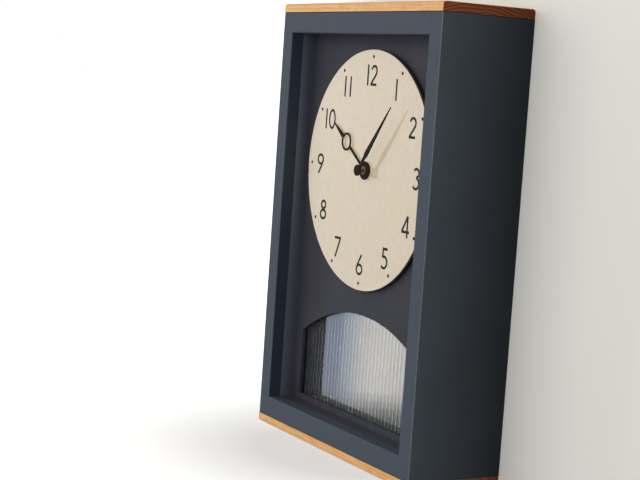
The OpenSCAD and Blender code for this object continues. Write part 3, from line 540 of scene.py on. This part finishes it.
def handMaterial(look=handLook):
    material, tree, shader, place = startMaterial("handLacquer")
    skin = useGroup(tree, paintSkin, place, {"Brush Scale": (1, 1, 1), "Peel Scale": 2.2})
    edges = useGroup(tree, edgeRub, place, {"Width": 0.25 * millimetre})
    flecked = coat(tree, look["black"], look["worn"], skin["Specks"])
    worn = coat(tree, flecked, look["worn"], edges["Mask"], 0.6)
    dress(tree, shader, look, worn, skin["Drift"], midTones, skin["Height"], 0.5, edges["Rounded Normal"])
    return material


# Reeded pane: the flat front is polished, a little smeared, and the reeded back is silky
paneLook = {
    "tint": srgb(158, 164, 170),
    "film": srgb(146, 150, 150),
    "polish": 0.03,
    "smears": 0.02,  # roughness that they add
    "silk": 0.42,
    "silkReach": (0.2, 0.6),  # mm behind the front face between which the silk comes in
}


def paneMaterial(look=paneLook):
    material, tree, shader, place = startMaterial("reededGlass")
    smear = noise(tree, place, 0.05, 4.0, 0.6, 1.0)
    plug(shader["Base Color"], mixColours(tree, remap(tree, smear, 0.4, 0.7), look["tint"], look["film"]))
    frontFace = cornersOf("reeded_pane")[0].y
    reeded = remap(tree, split(tree, place)[1], *(frontFace + reach for reach in look["silkReach"]),
                   look["polish"], look["silk"])
    smeared = remap(tree, smear, 0.3, 0.75, 0.0, look["smears"])
    plug(shader["Roughness"], maths(tree, "ADD", reeded, smeared))
    shader["Transmission Weight"].default_value = 1.0
    shader["IOR"].default_value = 1.5
    return material


# Zinc-plated steel of screws, clips and plates
steelLook = {
    "bright": srgb(200, 201, 204),
    "dull": srgb(150, 150, 150),
    "stain": srgb(132, 118, 96),
    "roughness": (0.24, 0.44),
    "metallic": 1.0,
    "relief": 0.012,
}
# Dull nickel of the bush in the hour hand
colletLook = dict(steelLook, bright=srgb(128, 114, 94), dull=srgb(108, 96, 78), stain=srgb(90, 76, 60),
                  roughness=(0.66, 0.86), metallic=0.1, gloss=0.1)


def steelMaterial(name, lineScale, look=steelLook):
    material, tree, shader, place = startMaterial(name)
    metal = useGroup(tree, brushedMetal, place, {"Line Scale": lineScale})
    edges = useGroup(tree, edgeRub, place, {"Width": 0.3 * millimetre})
    plain = mixColours(tree, remap(tree, metal["Lines"], 0.3, 0.7), look["bright"], look["dull"])
    stained = coat(tree, plain, look["stain"], remap(tree, metal["Tarnish"], 0.55, 0.75, 0.0, 0.35))
    rubbed = coat(tree, stained, look["bright"], edges["Mask"], 0.5)
    dress(tree, shader, look, rubbed, metal["Lines"], (0.25, 0.8),
          metal["Lines"], 0.5, edges["Rounded Normal"])
    return material


# Brass: lacquered and brushed on the rod and nut, turned on the bob
brassLook = {
    "gold": srgb(214, 172, 96),
    "brown": srgb(160, 116, 58),
    "roughness": (0.20, 0.38),
    "metallic": 1.0,
    "relief": 0.015,
}
bobLook = dict(brassLook, gold=srgb(150, 116, 66), brown=srgb(104, 76, 42), roughness=(0.40, 0.58))
nutLook = dict(brassLook, gold=srgb(128, 112, 86), brown=srgb(96, 82, 60), roughness=(0.56, 0.74))


def brassMaterial(name, look=brassLook, centre=None):
    material, tree, shader, place = startMaterial(name)
    metal = useGroup(tree, brushedMetal, place, {"Line Scale": (5.0, 5.0, 0.08)})
    lines = metal["Lines"]
    if centre:
        lines = useGroup(tree, turnedRings, place, {"Centre": centre, "Pitch": 0.3})["Rings"]
    edges = useGroup(tree, edgeRub, place, {"Width": 0.4 * millimetre})
    aged = mixColours(tree, remap(tree, metal["Tarnish"], 0.45, 0.75, 0.0, 0.8), look["gold"], look["brown"])
    rubbed = coat(tree, aged, look["gold"], edges["Mask"], 0.4)
    dress(tree, shader, look, rubbed, lines, midTones, lines, 0.5, edges["Rounded Normal"])
    return material


# Brass of the centre arbor and its wheels, finely turned
arborLook = {
    "gold": srgb(156, 110, 70),
    "brown": srgb(128, 86, 52),
    "roughness": (0.36, 0.5),
    "metallic": 0.6,
    "relief": 0.012,
}


def arborWheelMaterial(look=arborLook):
    material, tree, shader, place = startMaterial("turnedArborBrass")
    metal = useGroup(tree, brushedMetal, place, {"Line Scale": (0.6, 6.0, 0.6)})
    aged = mixColours(tree, remap(tree, metal["Tarnish"], 0.35, 0.75), look["gold"], look["brown"])
    dress(tree, shader, look, aged, metal["Lines"], midTones, metal["Lines"])
    return material


# Moulded plastics of the movement
blackLook = {
    "base": srgb(40, 40, 42),
    "other": srgb(52, 52, 54),
    "rub": srgb(120, 120, 120),
    "dust": srgb(170, 166, 158),
    "grain": 2.6,
    "roughness": (0.58, 0.44),
    "relief": 0.03,
}
whiteLook = dict(blackLook, base=srgb(226, 222, 210), other=srgb(210, 204, 188), rub=srgb(226, 222, 210),
                 grain=4.0, roughness=(0.48, 0.34))
buffLook = dict(whiteLook, base=srgb(142, 126, 104), other=srgb(124, 108, 88), rub=srgb(142, 126, 104),
                roughness=(0.63, 0.49))


def plasticMaterial(name, look):
    material, tree, shader, place = startMaterial(name)
    skin = useGroup(tree, mouldedSkin, place, {"Grain": look["grain"]})
    edges = useGroup(tree, edgeRub, place, {"Width": 0.35 * millimetre})
    dust = useGroup(tree, settledDust, place, {"Amount": 0.25})
    body = mixColours(tree, remap(tree, skin["Flow"], 0.35, 0.65), look["base"], look["other"])
    rubbed = coat(tree, body, look["rub"], edges["Mask"], 0.5)
    colour = coat(tree, rubbed, look["dust"], dust["Mask"])
    dress(tree, shader, look, colour, skin["Height"], (0.0, 0.8),
          skin["Height"], 0.5, edges["Rounded Normal"])
    return material


# Pressed fibre board of the back panel
hardboardLook = {
    "brown": srgb(160, 120, 82),
    "dark": srgb(132, 97, 65),
    "shive": srgb(88, 62, 42),
    # painted shade of the face inside the case
    "inside": srgb(52, 51, 54),
    "shadePaintDepth": 0.2,  # mm of the face towards the dial, which is painted dark as painted shade inside the closed case
    "meshTurn": 4.2,  # radians per mm of the square pattern that the wire mesh leaves in the wet board
    "roughness": (0.60, 0.78),
    "relief": 0.06,
}


def hardboardMaterial(look=hardboardLook):
    material, tree, shader, place = startMaterial("pressedFibreBoard")
    board = useGroup(tree, feltedFibres, place, {"Fineness": 0.34})
    edges = useGroup(tree, edgeRub, place, {"Width": 0.6 * millimetre})
    across, depth, level = split(tree, place)
    waves = [maths(tree, "SINE", times(tree, part, look["meshTurn"])) for part in (across, level)]
    meshed = times(tree, *waves)
    body = mixColours(tree, remap(tree, board["Clouds"], 0.3, 0.7), look["brown"], look["dark"])
    fibrous = coat(tree, body, look["dark"], board["Fibres"], 0.45)
    chipped = coat(tree, fibrous, look["shive"], board["Shives"], 0.7)
    rubbed = coat(tree, chipped, look["brown"], edges["Mask"], 0.35)
    # Painted shade: the face towards the dial is painted dark, as inside the closed case
    painted = maths(tree, "LESS_THAN", depth, cornersOf("back_panel")[0].y + look["shadePaintDepth"])
    height = maths(tree, "ADD", times(tree, meshed, 0.3), board["Fibres"])
    colour = coat(tree, rubbed, look["inside"], painted)
    dress(tree, shader, look, colour, board["Fibres"], (0.2, 0.9), height, 0.5, edges["Rounded Normal"])
    return material


# Coils: enamelled wire laid side by side between plastic flanges
coilLook = {
    "shade": srgb(110, 52, 26),
    "copper": srgb(196, 110, 62),
    "strand": srgb(150, 70, 34),
    "flange": srgb(58, 60, 58),
    "metal": 0.8,
    "wireTurn": 11.0,  # radians per mm along the coil
    "roughness": (0.3, 0.45),
    "relief": 0.08,
}


def coilMaterial(name, centre, axis, wireReach, look=coilLook):
    material, tree, shader, place = startMaterial(name)
    along = split(tree, vectorMaths(tree, "SUBTRACT", place, centre))[axis]
    wires = maths(tree, "ABSOLUTE", maths(tree, "SINE", times(tree, along, look["wireTurn"])))
    strand = noise(tree, place, 0.8, 3.0, 0.6)
    varied = coat(tree, mixColours(tree, wires, look["shade"], look["copper"]), look["strand"], strand, 0.4)
    flange = remap(tree, maths(tree, "ABSOLUTE", along), wireReach - 0.02, wireReach + 0.02)
    plug(shader["Metallic"], maths(tree, "SUBTRACT", look["metal"], times(tree, flange, look["metal"])))
    dress(tree, shader, look, coat(tree, varied, look["flange"], flange), strand, midTones, wires, 0.7)
    return material


# Green laminate with copper tracks under the lacquer
laminateLook = {
    "green": srgb(30, 96, 56),
    "weave": srgb(44, 118, 70),
    "track": srgb(84, 150, 84),
    "solder": srgb(190, 192, 190),
    "roughness": (0.26, 0.36),
    "relief": 0.04,
}


def laminateMaterial(look=laminateLook):
    material, tree, shader, place = startMaterial("greenLaminate")
    tracks = addNode(tree, "TexBrick", {
        "Vector": place, "Scale": 0.22, "Mortar Size": 0.035,
        "Color1": black, "Color2": black, "Mortar": (1, 1, 1, 1)}).outputs[0]
    spots = addNode(tree, "TexVoronoi", {"Vector": place, "Scale": 0.35}).outputs[0]
    solder = remap(tree, spots, 0.26, 0.20)
    weave = noise(tree, place, 3.0, 2.0, 0.5)
    lined = coat(tree, mixColours(tree, weave, look["green"], look["weave"]), look["track"], tracks)
    plug(shader["Metallic"], times(tree, solder, 0.9))
    dress(tree, shader, look, coat(tree, lined, look["solder"], solder), weave, midTones,
          maths(tree, "ADD", solder, weave))
    return material


# Plain cell: dark sleeve, a warm band at the positive end and bare metal at both ends
cellLook = {
    "sleeve": srgb(52, 56, 62),
    "band": srgb(176, 128, 74),
    "bandLength": 15,  # mm
    "scuff": srgb(150, 150, 150),
    "bare": srgb(196, 196, 198),
    "bareLengths": ((1.4, 1.2), (3.0, 2.8)),  # mm from the minus and the plus end, between which it sets in
    "roughness": (0.26, 0.45),
    "relief": 0.02,
}


def cellMaterial(look=cellLook):
    start, end = (corner.x for corner in cornersOf("battery_cell"))
    material, tree, shader, place = startMaterial("cellSleeve")
    along = split(tree, place)[0]
    bandFrom = end - look["bandLength"]
    band = remap(tree, along, bandFrom - 0.1, bandFrom + 0.1)
    minus, plus = look["bareLengths"]
    bare = maths(tree, "MAXIMUM", remap(tree, along, *(end - length for length in plus)),
                 remap(tree, along, *(start + length for length in minus)))
    scuffs = remap(tree, noise(tree, place, (0.2, 2, 2), 4.0, 0.7), 0.45, 0.8)
    worn = coat(tree, mixColours(tree, band, look["sleeve"], look["band"]), look["scuff"], scuffs, 0.35)
    plug(shader["Metallic"], remap(tree, bare, 0.0, 1.0, 0.35, 1.0))
    dress(tree, shader, look, coat(tree, worn, look["bare"], bare), scuffs, (0.0, 1.0), scuffs, 0.4)
    return material


# Rubber of the washer under the nut
rubberLook = {
    "base": srgb(36, 35, 34),
    "other": srgb(50, 49, 47),
    "dust": srgb(120, 116, 110),
    "roughness": (0.75, 0.9),
    "relief": 0.03,
}


def rubberMaterial(look=rubberLook):
    material, tree, shader, place = startMaterial("washerRubber")
    skin = useGroup(tree, mouldedSkin, place, {"Grain": 5.0})
    dust = useGroup(tree, settledDust, place, {"Amount": 0.4})
    body = mixColours(tree, skin["Flow"], look["base"], look["other"])
    colour = coat(tree, body, look["dust"], dust["Mask"])
    dress(tree, shader, look, colour, skin["Flow"], midTones, skin["Height"])
    return material


uprightBrush = (1.2, 1.2, 0.02)
levelBrush = (0.02, 1.2, 1.2)

finishes = {}
for finish, nodeNames in (
        (oakMaterial("oakTopCap", heartOf("top_cap")), "top_cap"),
        (oakMaterial("oakBottomCap", heartOf("bottom_cap")), "bottom_cap"),
        (slateMaterial("slatePaintSide", uprightBrush, slateLook["inner"], slateLook["innerPaintedLight"]),
         "side_panel_left side_panel_right"),
        (slateMaterial("slatePaintStile", uprightBrush, slateLook["revealShade"]),
         "frame_stile_left frame_stile_right"),
        (slateMaterial("slatePaintRail", levelBrush), "frame_rail_top frame_rail_bottom"),
        (boardMaterial(), "inner_top_board inner_bottom_board dial_board dial_spacer"),
        (dialMaterial(), "dial_disc"),
        (inkMaterial("darkDialInk", inkLook), "dial_numerals hour_dots"),
        (inkMaterial("faintDialInk", faintInkLook), "minute_dots"),
        (paneMaterial(), "reeded_pane"),
        (steelMaterial("platedSheetSteel", (0.08, 4.0, 4.0)),
         "pane_clips hanger_plate stepper_motor battery_contact_plus battery_contact_minus"),
        (steelMaterial("platedScrewSteel", (2.0, 2.0, 2.0)),
         "pane_clip_screws batten_screws back_panel_screws hanger_screws movement_screws "
         "pendulum_magnet pivot_clip"),
        (oakMaterial("planedSoftwood", battenLook["heart"], battenLook), "board_battens"),
        (hardboardMaterial(), "back_panel"),
        (plasticMaterial("blackMouldedPlastic", blackLook), "movement_shell movement_cover"),
        (plasticMaterial("whiteMouldedPlastic", whiteLook),
         "motion_wheel drive_pinion setting_knob pendulum_lever"),
        (plasticMaterial("buffMouldedPlastic", buffLook), "hour_wheel"),
        (rubberMaterial(), "mounting_washer"),
        (arborWheelMaterial(), "centre_wheel"),
        (coilMaterial("motorCoilWire", middleOf("motor_coil"), 0, 12.0), "motor_coil"),
        (coilMaterial("pendulumCoilWire", middleOf("pendulum_coil"), 1, 3.1), "pendulum_coil"),
        (laminateMaterial(), "circuit_board"),
        (cellMaterial(), "battery_cell"),
        (handMaterial(), "hour_hand minute_hand"),
        (steelMaterial("dullNickelBush", (0.6, 6.0, 0.6), colletLook), "hour_collet"),
        (brassMaterial("dullNutBrass", nutLook), "fixing_nut"),
        (brassMaterial("brushedRodBrass"), "pendulum_rod"),
        (brassMaterial("turnedBobBrass", bobLook, middleOf("pendulum_bob")), "pendulum_bob")):
    finishes.update(dict.fromkeys(nodeNames.split(), finish))

for nodeName, node in clockNodes.items():
    node.data.materials.clear()
    node.data.materials.append(finishes[nodeName])
clockNodes["reeded_pane"].visible_shadow = False  # clear glass throws no shadow, so lamps reach its ribs
print("finishes: dressed", len(clockNodes), "nodes")


# A plain sheet of the stage from four-cornered faces, with an empty material
def stageSheet(name, materialName, corners):
    mesh = bpy.data.meshes.new(name)
    faces = [tuple(range(first, first + 4)) for first in range(0, len(corners), 4)]
    mesh.from_pydata(corners, [], faces)
    sheet = bpy.data.objects.new(name, mesh)
    bpy.context.scene.collection.objects.link(sheet)
    material = bpy.data.materials.new(materialName)
    mesh.materials.append(material)
    return sheet, emptyTree(material)


# Paint that throws back a share of the light, with a glow on top, and nothing at all where it is clear
def stagePaint(tree, colour, share, glowColour, glow, clear):
    paint = addNode(tree, "BsdfDiffuse", {"Color": mixColours(tree, share, black, colour)})
    light = addNode(tree, "Emission", {"Color": glowColour, "Strength": glow})
    both = addNode(tree, "AddShader", {0: paint.outputs[0], 1: light.outputs[0]})
    nothing = addNode(tree, "BsdfTransparent")
    seen = addNode(tree, "MixShader", {0: clear, 1: both.outputs[0], 2: nothing.outputs[0]})
    addNode(tree, "OutputMaterial", {"Surface": seen.outputs[0]})


# Pale floor; the camera sees it nearly white with the clock's soft shadow on it, and mirror rays
# pass it, so that glass and metal see the open room
floorLook = {
    "size": 16.0,
    "drop": 0.2,  # mm below the clock's foot
    "colour": srgb(240, 240, 238),
    "dull": srgb(232, 231, 227),
    "shade": 0.42,
    "bounce": 0.5,
    "lift": 0.66,
    "farLift": 1.2,
    "near": 0.10,
    "far": 0.26,
}
stageFoot = caseLow.z - floorLook["drop"] * millimetre


def buildFloor(look=floorLook):
    half = look["size"] / 2
    floor, tree = stageSheet("floor", "paleFloor", [
        (-half, -half, 0), (half, -half, 0), (half, half, 0), (-half, half, 0)])
    floor.location.z = stageFoot
    place = millimetres(tree)
    path = addNode(tree, "LightPath").outputs
    colour = mixColours(tree, noise(tree, place, 0.004, 4.0, 0.6), look["colour"], look["dull"])
    share = remap(tree, path["Is Camera Ray"], 0.0, 1.0, look["bounce"], look["shade"])
    lift = remap(tree, vectorMaths(tree, "LENGTH", place), look["near"] * 1000, look["far"] * 1000,
                 look["lift"], look["farLift"])
    glow = times(tree, path["Is Camera Ray"], lift)
    stagePaint(tree, colour, share, colour, glow, path["Is Glossy Ray"])


# Plain pale backdrop right behind the clock. For the camera it glows, with a painted light that brightens it
# to white towards the left; it is open where the back rests on it, and shows its front only, so that the
# clock can be seen from behind. Close to the clock it throws back little light: painted shade standing for
# the clock's own shade on it.
wallLook = {
    "gap": 0.5,  # mm behind the clock's back
    "lap": 4,  # mm that it reaches in under the case
    "left": -0.9,
    "right": 2.6,
    "height": 2.6,
    "colour": srgb(236, 236, 231),
    "dull": srgb(233, 233, 227),
    "fadeFrom": -0.10,
    "fadeTo": -0.42,
    "shadeNear": 0.06,
    "shadeFar": 0.16,
    "bounceNear": 0.03,
    "bounceFar": 0.95,
    "lift": 0.10,
}


def buildWall(look=wallLook):
    lap = look["lap"] * millimetre
    depth = caseHigh.y + look["gap"] * millimetre
    left, right = caseLow.x + lap, caseHigh.x - lap
    strips = ((look["left"], left, stageFoot), (right, look["right"], stageFoot),
              (left, right, caseHigh.z - lap))
    wall, tree = stageSheet("wall", "paleWallPaint", [
        (x, depth, z) for start, end, foot in strips
        for x, z in ((start, foot), (end, foot), (end, look["height"]), (start, look["height"]))])
    place = millimetres(tree)
    across, _, level = split(tree, place)
    path = addNode(tree, "LightPath").outputs
    colour = mixColours(tree, noise(tree, place, 0.01, 3.0, 0.6), look["colour"], look["dull"])
    edge = caseHigh.x * 1000
    # Painted shade: the wall throws back less light close to the clock
    bounce = remap(tree, across, edge + look["shadeNear"] * 1000, edge + look["shadeFar"] * 1000,
                   look["bounceNear"], look["bounceFar"])
    share = maths(tree, "MAXIMUM", path["Is Camera Ray"], bounce)
    # Painted light: the glow seen by the camera grows to white towards the left
    fade = remap(tree, across, look["fadeFrom"] * 1000, look["fadeTo"] * 1000, look["lift"], 1.0)
    # The lap under the case is there for the camera only, so that light from behind reaches the case
    lapped = times(tree, maths(tree, "LESS_THAN", maths(tree, "ABSOLUTE", across), edge),
                   maths(tree, "LESS_THAN", level, caseHigh.z * 1000))
    unseen = times(tree, lapped, maths(tree, "SUBTRACT", 1.0, path["Is Camera Ray"]))
    clear = maths(tree, "MAXIMUM", addNode(tree, "NewGeometry").outputs["Backfacing"], unseen)
    stagePaint(tree, colour, share, (1, 1, 1, 1), times(tree, path["Is Camera Ray"], fade), clear)


# Room light: a fill that is weaker from above and stronger from behind, and a white background for
# the camera, mirrors and glass
roomLook = {"fillFront": 0.34, "fillBehind": 0.80, "fromAbove": 0.45, "background": 1.0}


def buildRoom(look=roomLook):
    world = bpy.data.worlds.new("paleRoom")
    bpy.context.scene.world = world
    tree = emptyTree(world)
    path = addNode(tree, "LightPath").outputs
    seen = maths(tree, "MAXIMUM", path["Is Camera Ray"],
                 maths(tree, "MAXIMUM", path["Is Glossy Ray"], path["Is Transmission Ray"]))
    _, ahead, upward = split(tree, addNode(tree, "TexCoord").outputs["Generated"])
    fill = times(tree, remap(tree, ahead, -1.0, 1.0, look["fillFront"], look["fillBehind"]),
                 remap(tree, upward, 0.2, 1.0, 1.0, look["fromAbove"]))
    strength = maths(tree, "ADD", times(tree, seen, look["background"]),
                     times(tree, maths(tree, "SUBTRACT", 1.0, seen), fill))
    glow = addNode(tree, "Background", {"Color": (1.0, 1.0, 0.998, 1.0), "Strength": strength})
    addNode(tree, "OutputWorld", {"Surface": glow.outputs[0]})


# Soft lamps: a broad panel ahead, one behind, and a small low one on the dial that throws the hands'
# shadows. Angles are degrees from straight ahead of the dial towards the left, seen from the pane,
# and heights are metres above the clock's foot.
lampLooks = {
    "frontPanel": {"angles": (-42.0, 46.0), "heights": (0.0, 1.5), "distance": 2.2, "radiance": 1.92,
                   "colour": (1.0, 0.965, 0.90), "spares": ["minute_hand", "hour_hand"]},
    "lowLamp": {"angles": (57.5, 59.7), "heights": (0.30, 0.44), "distance": 2.0, "radiance": 600.0,
                "colour": (0.56, 0.77, 1.0),
                "lights": ["dial_disc", "dial_numerals", "hour_dots", "minute_dots"],
                "spares": ["frame_stile_left", "side_panel_left"]},
    "rearPanel": {"angles": (130.0, 230.0), "heights": (0.0, 2.0), "distance": 2.2, "radiance": 1.0,
                  "colour": (1.0, 0.98, 0.95)},
}

# The pane mirrors a tall window at the left: a row of panels, bright and warm on the side towards the
# dial and bluer and weaker further left, each with a foot that dims in steps
windowLook = {
    "distance": 2.0,
    "strips": [  # angles, radiance and colour
        ((56.3, 57.8), 4.10, (1.0, 0.97, 0.90)),
        ((57.8, 58.8), 3.90, (1.0, 0.99, 0.94)),
        ((58.8, 59.4), 3.35, (1.0, 1.0, 1.0)),
        ((59.4, 59.9), 3.00, (0.83, 0.91, 1.0)),
        ((59.9, 60.5), 2.35, (0.65, 0.81, 1.0)),
        ((60.5, 64.0), 1.28, (0.36, 0.55, 1.0)),
    ],
    "levels": [  # heights and their share of the radiance
        ((-0.337, 3.0), 1.0),
        ((-0.354, -0.337), 0.75),
        ((-0.370, -0.354), 0.42),
        ((-0.384, -0.370), 0.15),
    ],
}
for stripNumber, (stripAngles, stripRadiance, stripColour) in enumerate(windowLook["strips"]):
    for levelNumber, (levelHeights, levelShare) in enumerate(windowLook["levels"]):
        lampLooks[f"windowStrip{stripNumber}_{levelNumber}"] = {
            "angles": stripAngles, "heights": levelHeights, "distance": windowLook["distance"],
            "radiance": stripRadiance * levelShare, "colour": stripColour}


# Nodes gathered for one lamp, either those that alone count for it or those that are left out
def gatherNodes(name, nodeNames, state):
    gathered = bpy.data.collections.new(name)
    for nodeName in nodeNames:
        gathered.objects.link(clockNodes[nodeName])
        gathered.collection_objects[-1].light_linking.link_state = state
    return gathered


def buildLamp(name, look):
    first, last = (math.radians(angle) for angle in look["angles"])
    low, high = look["heights"]
    middle = (first + last) / 2
    lamp = bpy.data.lights.new(name, "AREA")
    lamp.shape = "RECTANGLE"
    lamp.size = 2 * look["distance"] * math.tan((last - first) / 2)
    lamp.size_y = high - low
    lamp.energy = look["radiance"] * math.pi * lamp.size * lamp.size_y
    lamp.color = look["colour"]
    holder = bpy.data.objects.new(name, lamp)
    bpy.context.scene.collection.objects.link(holder)
    away = Vector((-math.sin(middle), -math.cos(middle), 0))
    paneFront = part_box("reeded_pane")[0].y
    holder.location = away * look["distance"] + Vector((0, paneFront, (low + high) / 2))
    holder.rotation_euler = (-away).to_track_quat("-Z", "Y").to_euler()
    holder.visible_camera = False
    if "lights" in look:
        holder.light_linking.receiver_collection = gatherNodes(name + "Lights", look["lights"], "INCLUDE")
    if "spares" in look:
        holder.light_linking.blocker_collection = gatherNodes(name + "Spares", look["spares"], "EXCLUDE")


# Camera at the photograph's viewing angle
cameraLook = {
    "lens": 89.512,
    "sensor": 36.0,
    "place": (1.21166, -0.73657, 0.33049),
    "azimuth": 61.058,
    "pitch": 5.719,
    "roll": -3.871,
}


def buildCamera(look=cameraLook):
    azimuth, pitch, roll = (math.radians(look[key]) for key in ("azimuth", "pitch", "roll"))
    ahead = math.cos(pitch)
    forward = Vector((-math.sin(azimuth) * ahead, math.cos(azimuth) * ahead, -math.sin(pitch)))
    level = Vector((math.cos(azimuth), math.sin(azimuth), 0))
    below = forward.cross(level)
    right = level * math.cos(roll) + below * math.sin(roll)
    down = below * math.cos(roll) - level * math.sin(roll)
    data = bpy.data.cameras.new("photoCamera")
    data.sensor_width = look["sensor"]
    data.lens = look["lens"]
    camera = bpy.data.objects.new("photoCamera", data)
    turned = Matrix((right, -down, -forward)).transposed().to_4x4()
    camera.matrix_world = Matrix.Translation(Vector(look["place"])) @ turned
    bpy.context.scene.collection.objects.link(camera)
    bpy.context.scene.camera = camera


buildFloor()
buildWall()
buildRoom()
for lampName, lampLook in lampLooks.items():
    buildLamp(lampName, lampLook)
buildCamera()
for nodeTree in nodeTrees:
    arrange(nodeTree)
bpy.context.scene.view_settings.view_transform = "Standard"
print("stage: floor, wall, room, lamps and camera are set")
